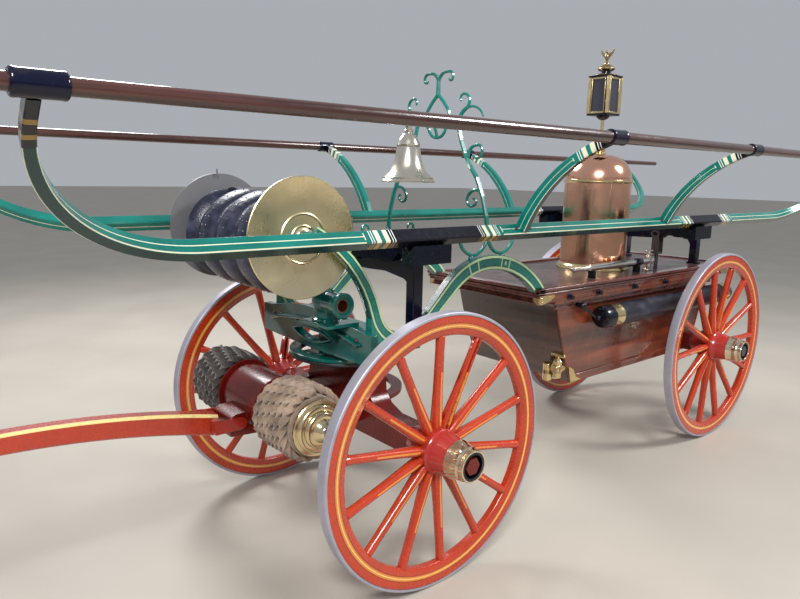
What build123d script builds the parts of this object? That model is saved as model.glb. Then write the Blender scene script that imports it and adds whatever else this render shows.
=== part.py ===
from build123d import *
import math
import os

os.makedirs("parts", exist_ok=True)

# Hand-pumped, hand-drawn fire engine. Millimetres. +X is forward, +Y is the near (left) side, Z = 0 is the ground.

# Overall layout
wheelbase = 2376
bar_length = 6000
brake_mid = 1310          # middle of the pump brakes, ahead of the rear axle
tongue_reach = 2470       # front of the tongue, ahead of the front axle
overall_front = wheelbase + tongue_reach
overall_rear = brake_mid - bar_length / 2
rear_axle_x = -(overall_front + overall_rear) / 2
front_axle_x = rear_axle_x + wheelbase
brake_x = rear_axle_x + brake_mid

# Clearances
seat = 0.3                # between a curved face and what it sits on
running = 0.05            # radial, shaft in a hole
slip = 0.5                # between flat faces that turn on each other

# Wheels
front_wheel_r = 533
rear_wheel_r = 564
front_face_y = 632        # outer face of the front rims
rear_face_y = 550
tyre_t = 12
tyre_w = 47
felloe_depth = 74
felloe_w = 43
spoke_count = 14
spoke_w = 46
spoke_t = 32
dish = 26                 # the spokes lean outwards by this much
hub_r = 88
hub_nose_r = 58
hub_out = 124             # hub's outer end beyond the rim's face
hub_in = 100              # hub's inner end behind the spokes
band_t = 7
band_w = 46
axle_r = 26
nut_r = 34
nut_t = 22

# Front and rear axle beds
bed_w = 96
bed_h = 120
bed_gap = 14              # from the bed's end to the hub
collar_r = 50

# Tub
tub_front = front_axle_x - 861
tub_rear = rear_axle_x - 400
tub_top = 1035
rim_h = 32
rim_half = 389
rim_w = 46
band_half = 376
band_drop = 82            # depth of the upper band on the sides
body_half = 340
tub_bottom = 590
cove_drop = 42            # the coved ends start this far under the rim
cove_in = 178             # how far the cove cuts in
cove_h = 205
deck_t = 22

# Copper air chamber and lantern
dome_x = rear_axle_x + 575
dome_r = 200
dome_h = 515              # deck to the shoulder band
crown_h = 144
finial_h = 221            # from the crown to the lantern's floor
lantern_side = 138
lantern_h = 220
post_side = 16
glass_t = 3
cap_h = 74

# Crane neck frames, drawn in side view
neck_y = 340
neck_w = 40
arch_depth = 78
arm_depth = 48
arch_x = front_axle_x - 576
arch_top = 1190
arch_r = 488
arch_half_angle = 42.6
arch_rear_angle = 46.0
leg_length = 165
foot_r = 146
foot_turn = 117.6
arm_r = 520
arm_turn = 48.5
eye_r = 27

# Bolster, fifth wheel and truck
bolster_w = 190
bolster_top = 886
bolster_h = 92
ring_r = 245
ring_w = 46
ring_t = 14
ring_z = 640
pin_r = 16
block_half = 74
block_front = 585         # front of the tongue block, ahead of the front axle
block_top = 716
lower_ring_t = 18
tongue_pin_x = front_axle_x + 545
tongue_pin_z = 606
tongue_pin_r = 12

# Rope reel on the truck
rope_x = front_axle_x + 404
rope_z = 655
rope_shaft_r = 13
rope_core_r = 48
rope_r = 158
rope_in = 88
rope_out = 372
rope_strand = 28
flange_r = 92

# Tongue
tongue_w = 62
tongue_depth = 82
tongue_tip_depth = 58
tongue_rise = 96
crossbar_r = 17
crossbar_half = 320

# Hose reel
reel_x = front_axle_x + 404
reel_z = 1322
reel_r = 216
reel_disc_t = 6
reel_disc_y = 300
reel_shaft_r = 14
reel_core_r = 62
hose_turns = 8
hose_wrap_r = 186

# Brakes: two side levers that rock together about a lengthwise axis
rock_z = 1235
beam_y = 509
beam_z = 1315
bar_y = 927
bar_z = 1695
bar_r = 23.5
beam_thick = 48
beam_wide = 62
nose_r = 480
sleeve_r = 31
sleeve_l = 100
brace_sleeve_l = 62
nose_in = 575             # the swept ends stand this far inside the bars' ends
brace_x = (front_axle_x - 506, rear_axle_x + 730)
brace_w = 58
brace_t = 34
rocker_front_x = front_axle_x - 36
rocker_rear_x = rear_axle_x + 290
rocker_t = 44
rocker_hub_r = 46
head_w = 50
shoe_l = 184              # iron shoe under the beam at each end of a rocker arm
shoe_w = 66
shoe_low = 6              # bottom of the shoe, under the rocking axis
trunnion_r = 20
trunnion_l = 70
rod_y = 250
rod_r = 11
rod_pin_r = 9
rod_slot = 8              # the pin swings this far inwards over the stroke
fork_t = 8

# Bell
bell_x = front_axle_x - 330
bell_lip_z = 1515
bell_h = 222
bell_lip_r = 118
bell_wall = 7
frame_x = front_axle_x - 500
scroll_w = 16
scroll_t = 14
scroll_foot = 1345        # height where the uprights spring from the foot scrolls

# Suction hose on each side of the tub, play pipe and outlet
suction_r = 62
suction_y = body_half + suction_r + seat
suction_z = 858
suction_front = tub_front - 365
suction_rear = rear_axle_x - 330
pipe_y = 262
outlet_bore = 32
outlet_x = front_axle_x + 226
outlet_y = 286
outlet_z = 1060


def side_plane(x, z, side):
    """Plane through the axle's line: local x runs outboard, local y up."""
    return Plane(origin=(x, 0, z), x_dir=(0, side, 0), z_dir=(side, 0, 0))


def cross_axis(x, z):
    """Axis along Y through x, z."""
    return Axis((x, 0, z), (0, 1, 0))


def upright_axis(x, y=0):
    """Axis along Z through x, y."""
    return Axis((x, y, 0), (0, 0, 1))


def turned(points, plane, axis):
    """A solid turned from a closed outline of straight lines."""
    with BuildPart() as piece:
        with BuildSketch(plane):
            with BuildLine():
                Polyline(*points, close=True)
            make_face()
        revolve(axis=axis)
    return piece.part


def write(part, name):
    """Label a finished piece and write its STEP file."""
    part.label = name
    export_step(part, "parts/" + name + ".step")


# Wheels
def hub_span(face_y):
    """Places of the spokes' feet, the hub's inner end and its outer end along Y."""
    spoke_y = face_y - tyre_w / 2 - dish
    return spoke_y, spoke_y - hub_in, face_y + hub_out


def make_wheel(x, radius, face_y, side):
    """Wooden wheel: hub, spokes and felloe joined, dished towards the outside."""
    spoke_y, inner, outer = hub_span(face_y)
    felloe_out = radius - tyre_t - seat
    felloe_in = felloe_out - felloe_depth
    rim_y = face_y - tyre_w / 2
    bore = axle_r + running
    plane = side_plane(x, radius, side)
    hub = [
        (inner, bore), (inner, hub_nose_r + 6), (spoke_y - 58, hub_r - 8), (spoke_y - 30, hub_r),
        (spoke_y + 34, hub_r), (spoke_y + 46, hub_r - 14), (outer - band_w - 8, hub_nose_r + 8),
        (outer - band_w, hub_nose_r), (outer, hub_nose_r), (outer, bore),
    ]
    with BuildPart() as wheel:
        with BuildSketch(plane):
            with BuildLine():
                Polyline(*hub, close=True)
            make_face()
        revolve(axis=cross_axis(x, radius))
        with BuildSketch(plane):
            with Locations((rim_y, (felloe_in + felloe_out) / 2)):
                felloe = Rectangle(felloe_w, felloe_depth)
            chamfer(felloe.vertices().group_by(Axis.Z)[0], 9)
        revolve(axis=cross_axis(x, radius))
        for k in range(spoke_count):
            turn = math.radians(90 + (k + 0.5) * 360 / spoke_count)
            foot = Vector(x, side * spoke_y, radius) + Vector(math.cos(turn), 0, math.sin(turn)) * (hub_r - 12)
            tip = Vector(x, side * rim_y, radius) + Vector(math.cos(turn), 0, math.sin(turn)) * (felloe_in + 6)
            along = tip - foot
            with BuildSketch(Plane(origin=foot, x_dir=(0, 1, 0), z_dir=along)):
                section = Rectangle(spoke_w, spoke_t)
                chamfer(section.vertices(), 9)
            extrude(amount=along.length, taper=1.0)
    return wheel.part


def make_tyre(x, radius, face_y, side):
    """Flat iron tyre shrunk on the felloe."""
    inner = face_y - tyre_w
    outline = [(inner, radius - tyre_t), (inner, radius), (face_y, radius), (face_y, radius - tyre_t)]
    return turned(outline, side_plane(x, radius, side), cross_axis(x, radius))


def make_hub_band(x, radius, face_y, side):
    """Brass band round the hub's nose with a lip that stands past the axle nut."""
    outer = hub_span(face_y)[2]
    inside = hub_nose_r + seat
    lip = nut_r + 8
    outline = [
        (outer - band_w, inside), (outer - band_w, inside + band_t), (outer - 12, inside + band_t),
        (outer + nut_t + 4, inside - 2), (outer + nut_t + 4, lip), (outer + slip, lip), (outer + slip, inside),
    ]
    return turned(outline, side_plane(x, radius, side), cross_axis(x, radius))


def make_axle_arms(x, z, face_y):
    """Iron axle arms on both sides: collar, arm and the nut that holds the wheel."""
    inner, outer = hub_span(face_y)[1:]
    start = inner - bed_gap
    with BuildPart() as arms:
        for side in (1, -1):
            plane = Plane(origin=(x, side * start, z), x_dir=(1, 0, 0), z_dir=(0, side, 0))
            with BuildSketch(plane):
                Circle(collar_r)
            extrude(amount=bed_gap - slip)
            with BuildSketch(plane):
                Circle(axle_r)
            extrude(amount=outer - start + slip + 1)
            with BuildSketch(plane.offset(outer - start + slip)):
                RegularPolygon(nut_r, 6)
            extrude(amount=nut_t)
    return arms.part


for end, x, radius, face_y in (
    ("front", front_axle_x, front_wheel_r, front_face_y),
    ("rear", rear_axle_x, rear_wheel_r, rear_face_y),
):
    for name, side in (("near", 1), ("far", -1)):
        write(make_wheel(x, radius, face_y, side), f"{end}_wheel_{name}")
        write(make_tyre(x, radius, face_y, side), f"{end}_tyre_{name}")
        write(make_hub_band(x, radius, face_y, side), f"{end}_hub_band_{name}")

write(make_axle_arms(rear_axle_x, rear_wheel_r, rear_face_y), "rear_axle_arms")

# Rear axle bed, up to the tub's floor
rear_bed_half = hub_span(rear_face_y)[1] - bed_gap
with BuildPart() as rear_bed:
    with BuildSketch(Plane.YZ.offset(rear_axle_x - bed_w / 2)):
        with BuildLine():
            Polyline(
                (-rear_bed_half, rear_wheel_r - collar_r), (rear_bed_half, rear_wheel_r - collar_r),
                (rear_bed_half, rear_wheel_r + collar_r), (body_half + 3, rear_wheel_r + collar_r),
                (body_half + 3, tub_bottom), (-body_half - 3, tub_bottom),
                (-body_half - 3, rear_wheel_r + collar_r), (-rear_bed_half, rear_wheel_r + collar_r),
                close=True,
            )
        make_face()
    extrude(amount=bed_w)
write(rear_bed.part, "rear_axle_bed")

# Tub: a coved box with a wider band round its top
with BuildPart() as tub:
    cove_top = tub_top - rim_h - cove_drop
    with BuildSketch(Plane.XZ):
        with BuildLine():
            front = tub_front - 14
            rear = tub_rear + 14
            bulge = cove_in * 0.66
            Line((front, tub_top - rim_h), (front, cove_top))
            ThreePointArc((front, cove_top), (front - bulge, cove_top - cove_h * 0.3), (front - cove_in, cove_top - cove_h))
            Line((front - cove_in, cove_top - cove_h), (front - cove_in - 22, tub_bottom))
            Line((front - cove_in - 22, tub_bottom), (rear + cove_in + 22, tub_bottom))
            Line((rear + cove_in + 22, tub_bottom), (rear + cove_in, cove_top - cove_h))
            ThreePointArc((rear + cove_in, cove_top - cove_h), (rear + bulge, cove_top - cove_h * 0.3), (rear, cove_top))
            Line((rear, cove_top), (rear, tub_top - rim_h))
            Line((rear, tub_top - rim_h), (front, tub_top - rim_h))
        make_face()
    extrude(amount=body_half, both=True)
    with BuildSketch(Plane.XY.offset(tub_top - rim_h - band_drop)):
        with Locations(((tub_front + tub_rear) / 2, 0)):
            Rectangle(tub_front - tub_rear - 2 * cove_in, 2 * band_half)
    extrude(amount=band_drop)
    with BuildSketch(Plane.XY.offset(tub_top - rim_h - cove_drop)):
        with Locations(((tub_front + tub_rear) / 2, 0)):
            Rectangle(tub_front - tub_rear - 28, 2 * band_half)
    extrude(amount=cove_drop)
    rod_hole = 385
    for y in (rod_y, -rod_y):
        with Locations((rocker_rear_x, y, tub_top - rim_h)):
            Cylinder(rod_r + 3, rod_hole, align=(Align.CENTER, Align.CENTER, Align.MAX), mode=Mode.SUBTRACT)
    with BuildSketch(Plane.XY.offset(tub_top - rim_h)):
        with Locations(((tub_front + tub_rear) / 2, 0)):
            RectangleRounded(tub_front - tub_rear, 2 * rim_half, 9)
            Rectangle(tub_front - tub_rear - 2 * rim_w, 2 * (rim_half - rim_w), mode=Mode.SUBTRACT)
    extrude(amount=rim_h)
write(tub.part, "tub")

with BuildPart() as deck:
    with BuildSketch(Plane.XY.offset(tub_top - rim_h)):
        with Locations(((tub_front + tub_rear) / 2, 0)):
            Rectangle(tub_front - tub_rear - 2 * rim_w, 2 * (rim_half - rim_w))
        with Locations((rocker_rear_x, rod_y), (rocker_rear_x, -rod_y)):
            Circle(rod_r + 3, mode=Mode.SUBTRACT)
    extrude(amount=deck_t)
write(deck.part, "deck")
deck_top = tub_top - rim_h + deck_t

# Air chamber, with its brass rings and finial
dome_plane = Plane(origin=(dome_x, 0, deck_top), x_dir=(1, 0, 0), z_dir=(0, -1, 0))
with BuildPart() as chamber:
    with BuildSketch(dome_plane):
        with BuildLine():
            Line((0, 0), (dome_r, 0))
            Line((dome_r, 0), (dome_r, dome_h))
            ThreePointArc((dome_r, dome_h), (dome_r * 0.74, dome_h + crown_h * 0.72), (38, dome_h + crown_h))
            Line((38, dome_h + crown_h), (0, dome_h + crown_h))
            Line((0, dome_h + crown_h), (0, 0))
        make_face()
    revolve(axis=upright_axis(dome_x))
write(chamber.part, "air_chamber")

crown_z = deck_top + dome_h + crown_h
lantern_z = crown_z + finial_h
with BuildPart() as rings:
    for height, ring_h, proud in ((0, 34, 20), (dome_h - 14, 16, 9)):
        with BuildSketch(dome_plane):
            with Locations((dome_r + seat, height)):
                ring = Rectangle(proud, ring_h, align=(Align.MIN, Align.MIN))
            chamfer(ring.vertices().sort_by(Axis.X)[-2:], 5)
        revolve(axis=upright_axis(dome_x))
    finial = [(0, 0), (34, 0), (34, 8), (20, 14), (26, 30), (14, 44), (10, 60), (10, finial_h - 46),
              (26, finial_h - 40), (lantern_side / 2 - 6, finial_h), (0, finial_h)]
    with BuildSketch(Plane(origin=(dome_x, 0, crown_z), x_dir=(1, 0, 0), z_dir=(0, -1, 0))):
        with BuildLine():
            Polyline(*finial, close=True)
        make_face()
    revolve(axis=upright_axis(dome_x))
write(rings.part, "chamber_brass")

# Lantern on the chamber's finial
with BuildPart() as glass:
    reach = lantern_side / 2 - post_side
    for k in range(4):
        with BuildSketch(Plane.XY.offset(lantern_z + 12)):
            with Locations((dome_x, 0)):
                with PolarLocations(lantern_side / 2 - post_side / 2, 1, start_angle=90 * k):
                    Rectangle(glass_t, 2 * reach)
        extrude(amount=lantern_h - 24)
write(glass.part, "lantern_glass")

cap_z = lantern_z + lantern_h
with BuildPart() as lantern:
    for z, side in ((lantern_z, lantern_side + 14), (lantern_z + lantern_h - 12, lantern_side + 22)):
        with BuildSketch(Plane.XY.offset(z)):
            with Locations((dome_x, 0)):
                Rectangle(side, side)
        extrude(amount=12)
    with BuildSketch(Plane.XY.offset(lantern_z)):
        with Locations((dome_x, 0)):
            with GridLocations(lantern_side - post_side, lantern_side - post_side, 2, 2):
                Rectangle(post_side, post_side)
    extrude(amount=lantern_h)
    with BuildSketch(Plane(origin=(dome_x, 0, cap_z), x_dir=(1, 0, 0), z_dir=(0, -1, 0))):
        with BuildLine():
            Line((0, 0), (66, 0))
            ThreePointArc((66, 0), (52, 30), (26, 42))
            Polyline((26, 42), (38, 50), (38, 58), (12, 66), (12, cap_h), (0, cap_h))
            Line((0, cap_h), (0, 0))
        make_face()
    revolve(axis=upright_axis(dome_x))
    # bird finial: body, breast and raised wings
    with BuildSketch(Plane.YZ.offset(dome_x - 7)):
        with BuildLine():
            bird = [(-8, -2), (8, -2), (10, 18), (34, 26), (44, 74), (26, 58), (12, 46), (8, 70), (0, 82),
                    (-8, 70), (-12, 46), (-26, 58), (-44, 74), (-34, 26), (-10, 18)]
            Polyline(*[(y, cap_z + cap_h + z) for y, z in bird], close=True)
        make_face()
    extrude(amount=14)
write(lantern.part, "lantern_frame")

# Crane necks: an arch over the wheels' sweep, a foot on the bolster and an arm up to the reel
def neck_path():
    """Side view of the crane neck as tangent arcs, from the tub forward to the reel's eye."""
    rear = math.radians(arch_rear_angle)
    start = (arch_x - arch_r * math.sin(rear), arch_top - arch_r + arch_r * math.cos(rear))
    arch = JernArc(start, (math.cos(rear), math.sin(rear)), arch_r, -(arch_rear_angle + arch_half_angle))
    leg = Line(arch @ 1, arch @ 1 + (arch % 1) * leg_length)
    foot = JernArc(leg @ 1, leg % 1, foot_r, foot_turn)
    arm = JernArc(foot @ 1, foot % 1, arm_r, -arm_turn)
    return arch, leg, foot, arm


def make_neck(side):
    """One crane neck, with a flat pad under its foot and an eye for the reel shaft."""
    with BuildPart() as neck:
        with BuildSketch(Plane.XZ.offset(-side * neck_y)):
            with BuildLine():
                arch, leg, foot, arm = neck_path()
            trace([arch], line_width=arch_depth)
            trace([leg, foot, arm], line_width=arm_depth)
            with Locations((reel_x, reel_z)):
                Circle(eye_r)
            with Locations((front_axle_x - 19, bolster_top)):
                Rectangle(150, 26, align=(Align.CENTER, Align.MIN))
            with Locations((reel_x, reel_z)):
                Circle(reel_shaft_r + running, mode=Mode.SUBTRACT)
            with BuildLine():
                Polyline((tub_front - 200, tub_top), (tub_front + 60, tub_top - 200), (tub_front - 200, tub_top - 200),
                         close=True)
            make_face(mode=Mode.SUBTRACT)
        extrude(amount=neck_w / 2, both=True)
        with Locations(((tub_front + tub_rear) / 2, side * neck_y, tub_top)):
            Box(tub_front - tub_rear + 2, 3 * neck_w, 300, align=(Align.CENTER, Align.CENTER, Align.MAX),
                mode=Mode.SUBTRACT)
    return neck.part


write(make_neck(1), "crane_neck_near")
write(make_neck(-1), "crane_neck_far")

# Bolster casting on the fifth wheel, with an open bracket forward under the hose reel
bolster_low = bolster_top - bolster_h
with BuildPart() as bolster:
    with Locations((front_axle_x, 0, bolster_top)):
        Box(bolster_w, 2 * neck_y + 70, 40, align=(Align.CENTER, Align.CENTER, Align.MAX))
        Box(130, 420, bolster_h, align=(Align.CENTER, Align.CENTER, Align.MAX))
    for y in (-190, 160):
        with BuildSketch(Plane.XZ.offset(-y)):
            with BuildLine():
                Polyline((front_axle_x + 40, bolster_top), (front_axle_x + 40, 1062), (front_axle_x + 480, 1082),
                         (front_axle_x + 480, 1000), (front_axle_x + 440, 1000), (front_axle_x + 95, bolster_top),
                         close=True)
                Polyline((front_axle_x + 110, 930), (front_axle_x + 110, 1022), (front_axle_x + 410, 1034),
                         close=True)
            make_face()
        extrude(amount=-30)
    with Locations((front_axle_x + 40, 0, 1062)):
        Box(150, 380, 18, align=(Align.MIN, Align.CENTER, Align.MAX))
    with Locations((front_axle_x + 480, 0, 1000)):
        Box(16, 400, 82, align=(Align.MAX, Align.CENTER, Align.MIN))
    # upper ring of the fifth wheel and its king pin
    with BuildSketch(Plane.XY.offset(ring_z + slip)):
        with Locations((front_axle_x, 0)):
            Circle(ring_r)
            Circle(ring_r - ring_w, mode=Mode.SUBTRACT)
            Rectangle(2 * ring_r - 20, 90)
            Rectangle(120, 2 * ring_r - 20)
    extrude(amount=ring_t)
    with Locations((front_axle_x, 0, bolster_low)):
        Box(100, 400, bolster_low - ring_z - slip, align=(Align.CENTER, Align.CENTER, Align.MAX))
    with Locations((front_axle_x, 0, ring_z + slip)):
        Cylinder(pin_r, 190, align=(Align.CENTER, Align.CENTER, Align.MAX))
write(bolster.part, "bolster")

# Truck: axle bed and tongue block in one timber frame
front_bed_half = hub_span(front_face_y)[1] - bed_gap
with BuildPart() as truck:
    with Locations((front_axle_x, 0, front_wheel_r)):
        Box(bed_w, 2 * front_bed_half, bed_h)
    with BuildSketch(Plane.XZ):
        with BuildLine():
            block = [(0, 500), (300, 540), (block_front, 556), (block_front, 650), (470, block_top), (282, block_top),
                     (282, ring_z - lower_ring_t), (0, ring_z - lower_ring_t)]
            Polyline(*[(front_axle_x + a, z) for a, z in block], close=True)
        make_face()
    extrude(amount=block_half, both=True)
    with Locations((front_axle_x, 0, ring_z - lower_ring_t)):
        Box(120, 2 * ring_r, 60, align=(Align.CENTER, Align.CENTER, Align.MAX))
    with Locations((front_axle_x, 0, ring_z)):
        Cylinder(pin_r + running, 260, align=(Align.CENTER, Align.CENTER, Align.MAX), mode=Mode.SUBTRACT)
    with BuildSketch(Plane.XZ):
        with Locations((rope_x, rope_z)):
            Circle(rope_shaft_r + running)
        with Locations((tongue_pin_x, tongue_pin_z)):
            Circle(tongue_pin_r + running)
    extrude(amount=200, both=True, mode=Mode.SUBTRACT)
write(truck.part, "truck_frame")

with BuildPart() as truck_irons:
    add(make_axle_arms(front_axle_x, front_wheel_r, front_face_y))
    with BuildSketch(Plane.XY.offset(ring_z)):
        with Locations((front_axle_x, 0)):
            Circle(ring_r)
            Circle(ring_r - ring_w, mode=Mode.SUBTRACT)
            Rectangle(100, 2 * ring_r - 20)
            Circle(pin_r + running, mode=Mode.SUBTRACT)
    extrude(amount=-lower_ring_t)
write(truck_irons.part, "truck_irons")

# Rope reel: two spools on one shaft through the tongue block
with BuildPart() as spool:
    with Locations(Location((rope_x, 0, rope_z), (90, 0, 0))):
        Cylinder(rope_shaft_r, 2 * rope_out + 60)
    for side in (1, -1):
        core = [(rope_in, rope_shaft_r - 1), (rope_in, rope_r - 30), (rope_in + 8, rope_r - 30), (rope_in + 8, rope_core_r),
                (rope_out, rope_core_r), (rope_out, flange_r), (rope_out + 14, flange_r), (rope_out + 30, flange_r - 22),
                (rope_out + 48, flange_r - 34), (rope_out + 56, 30), (rope_out + 74, 24), (rope_out + 74, rope_shaft_r - 1)]
        with BuildSketch(side_plane(rope_x, rope_z, side)):
            with BuildLine():
                Polyline(*core, close=True)
            make_face()
        revolve(axis=cross_axis(rope_x, rope_z))
write(spool.part, "rope_spool")


def coil_profile(first, last, inner, outer, pitch):
    """Outline of a winding: a plain core side and one half round for each turn."""
    count = round((last - first) / pitch)
    step = (last - first) / count
    Line((first, inner), (first, outer - step / 2))
    for k in range(count):
        a = first + k * step
        ThreePointArc((a, outer - step / 2), (a + step / 2, outer), (a + step, outer - step / 2))
    Line((last, outer - step / 2), (last, inner))
    Line((last, inner), (first, inner))


with BuildPart() as rope:
    for side in (1, -1):
        with BuildSketch(side_plane(rope_x, rope_z, side)):
            with BuildLine():
                coil_profile(rope_in + 9, rope_out - 1, rope_core_r + seat, rope_r, rope_strand)
            make_face()
        revolve(axis=cross_axis(rope_x, rope_z))
write(rope.part, "drag_rope")

# Tongue: bowed pole with a crossbar, and the irons that hinge it to the truck
tongue_start = tongue_pin_x + 76
with BuildPart() as tongue:
    with BuildSketch(Plane.XZ):
        with BuildLine():
            tip_x = front_axle_x + tongue_reach
            top = (tongue_pin_z + 34, tongue_pin_z + tongue_rise + 44, tongue_pin_z + tongue_rise + 36)
            ThreePointArc((tongue_start, top[0]), (tongue_start + 420, top[1] - 12), (tongue_start + 900, top[1] + 4))
            Line((tongue_start + 900, top[1] + 4), (tip_x, top[2]))
            Line((tip_x, top[2]), (tip_x, top[2] - tongue_tip_depth))
            Line((tip_x, top[2] - tongue_tip_depth), (tongue_start + 900, top[1] + 4 - tongue_depth))
            ThreePointArc((tongue_start + 900, top[1] + 4 - tongue_depth),
                          (tongue_start + 420, top[1] - 12 - tongue_depth), (tongue_start, top[0] - tongue_depth + 14))
            Line((tongue_start, top[0] - tongue_depth + 14), (tongue_start, top[0]))
        make_face()
    extrude(amount=tongue_w / 2, both=True)
    with Locations(Location((tip_x - 48, 0, top[2] - tongue_tip_depth / 2), (90, 0, 0))):
        Cylinder(crossbar_r, 2 * crossbar_half)
write(tongue.part, "tongue")

with BuildPart() as tongue_irons:
    for side in (1, -1):
        with BuildSketch(Plane.XZ.offset(-side * (block_half + slip))):
            with BuildLine():
                Polyline((tongue_pin_x, tongue_pin_z - 24), (tongue_pin_x + 70, tongue_pin_z - 24),
                         (tongue_pin_x + 110, tongue_pin_z - 10), (tongue_pin_x + 110, tongue_pin_z + 30),
                         (tongue_pin_x + 70, tongue_pin_z + 24), (tongue_pin_x, tongue_pin_z + 24), close=True)
            make_face()
            with Locations((tongue_pin_x, tongue_pin_z)):
                Circle(24)
        extrude(amount=-side * 10)
    with Locations((tongue_pin_x + 74, 0, tongue_pin_z)):
        Box(30, 2 * (block_half + 10), 48, align=(Align.MIN, Align.CENTER, Align.CENTER))
    add(tongue.part, mode=Mode.SUBTRACT)
    with Locations(Location((tongue_pin_x, 0, tongue_pin_z), (90, 0, 0))):
        Cylinder(tongue_pin_r, 2 * (block_half + 13))
write(tongue_irons.part, "tongue_irons")

# Hose reel
with BuildPart() as reel_near:
    disc = [(0, reel_shaft_r + seat), (0, reel_r), (reel_disc_t, reel_r), (reel_disc_t, 90), (reel_disc_t + 5, 84),
            (reel_disc_t + 5, 78), (reel_disc_t, 72), (reel_disc_t, 34), (reel_disc_t + 7, 28),
            (reel_disc_t + 7, reel_shaft_r + seat)]
    with BuildSketch(side_plane(reel_x, reel_z, 1)):
        with BuildLine():
            Polyline(*[(reel_disc_y + a, r) for a, r in disc], close=True)
        make_face()
    revolve(axis=cross_axis(reel_x, reel_z))
write(reel_near.part, "reel_disc_near")

with BuildPart() as reel_far:
    with BuildSketch(side_plane(reel_x, reel_z, -1)):
        with BuildLine():
            Polyline(*[(reel_disc_y + a, r) for a, r in disc], close=True)
        make_face()
    revolve(axis=cross_axis(reel_x, reel_z))
    with Locations((reel_x, -reel_disc_y - reel_disc_t, reel_z + reel_r - 34)):
        with Locations(Location((0, 0, 0), (90, 0, 0))):
            Cylinder(9, 6, align=(Align.CENTER, Align.CENTER, Align.MIN))
write(reel_far.part, "reel_disc_far")

with BuildPart() as reel_core:
    with Locations(Location((reel_x, 0, reel_z), (90, 0, 0))):
        Cylinder(reel_core_r, 2 * reel_disc_y)
        Cylinder(reel_shaft_r, 2 * (neck_y + neck_w / 2 + 12))
write(reel_core.part, "reel_core")

with BuildPart() as hose:
    with BuildSketch(side_plane(reel_x, reel_z, 1)):
        with BuildLine():
            coil_profile(-reel_disc_y + 2, reel_disc_y - 2, reel_core_r + seat, hose_wrap_r,
                         2 * reel_disc_y / hose_turns)
        make_face()
    revolve(axis=cross_axis(reel_x, reel_z))
write(hose.part, "reel_hose")

# Brakes
out_y = bar_y - beam_y
out_z = bar_z - beam_z
out_length = math.hypot(out_y, out_z)


def lever_plane(side):
    """Leaning plane of one side's lever: local x forward, local y from the beam out to the bar."""
    return Plane(origin=(brake_x, side * beam_y, beam_z), x_dir=(1, 0, 0), z_dir=(0, -out_z, side * out_y))


end_x = bar_length / 2 - nose_in


def make_lever(side):
    """Side lever: a long beam whose ends sweep out to the bar, two braces, and a sleeve on each for the bar."""
    plane = lever_plane(side)
    reach = out_length - sleeve_r + 4
    with BuildPart() as lever:
        with BuildSketch(plane):
            with BuildLine() as path:
                front = Line((end_x, reach), (end_x, nose_r))
                nose = JernArc(front @ 1, (0, -1), nose_r, -90)
                run = Line(nose @ 1, (nose_r - end_x, 0))
                tail = JernArc(run @ 1, (-1, 0), nose_r, -90)
                Line(tail @ 1, (-end_x, reach))
            trace(path.edges(), line_width=beam_thick)
        extrude(amount=beam_wide / 2, both=True)
        for x in brace_x:
            with BuildSketch(Plane.YZ.offset(x)):
                with BuildLine():
                    arc = ThreePointArc((side * (beam_y + 12), beam_z + 12), (side * 688, 1562),
                                        (side * (bar_y - sleeve_r * 0.75), bar_z - 8))
                trace([arc], line_width=brace_w)
            extrude(amount=brace_t / 2, both=True)
        for x, length in (
            (brake_x + end_x, sleeve_l), (brake_x - end_x, sleeve_l),
            (brace_x[0], brace_sleeve_l), (brace_x[1], brace_sleeve_l),
        ):
            with Locations(Location((x, side * bar_y, bar_z), (0, 90, 0))):
                Cylinder(sleeve_r, length)
                Cylinder(bar_r + seat, length + 60, mode=Mode.SUBTRACT)
    return lever.part


def make_bar(side):
    """Long turned wooden bar that the pumpers hold."""
    with BuildPart() as bar:
        with Locations(Location((brake_x, side * bar_y, bar_z), (0, 90, 0))):
            Cylinder(bar_r, bar_length)
        chamfer(bar.edges().filter_by(GeomType.CIRCLE), 6)
    return bar.part


levers = {}
for name, side in (("near", 1), ("far", -1)):
    levers[name] = make_lever(side)
    write(levers[name], "brake_lever_" + name)
    write(make_bar(side), "brake_bar_" + name)


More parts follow.
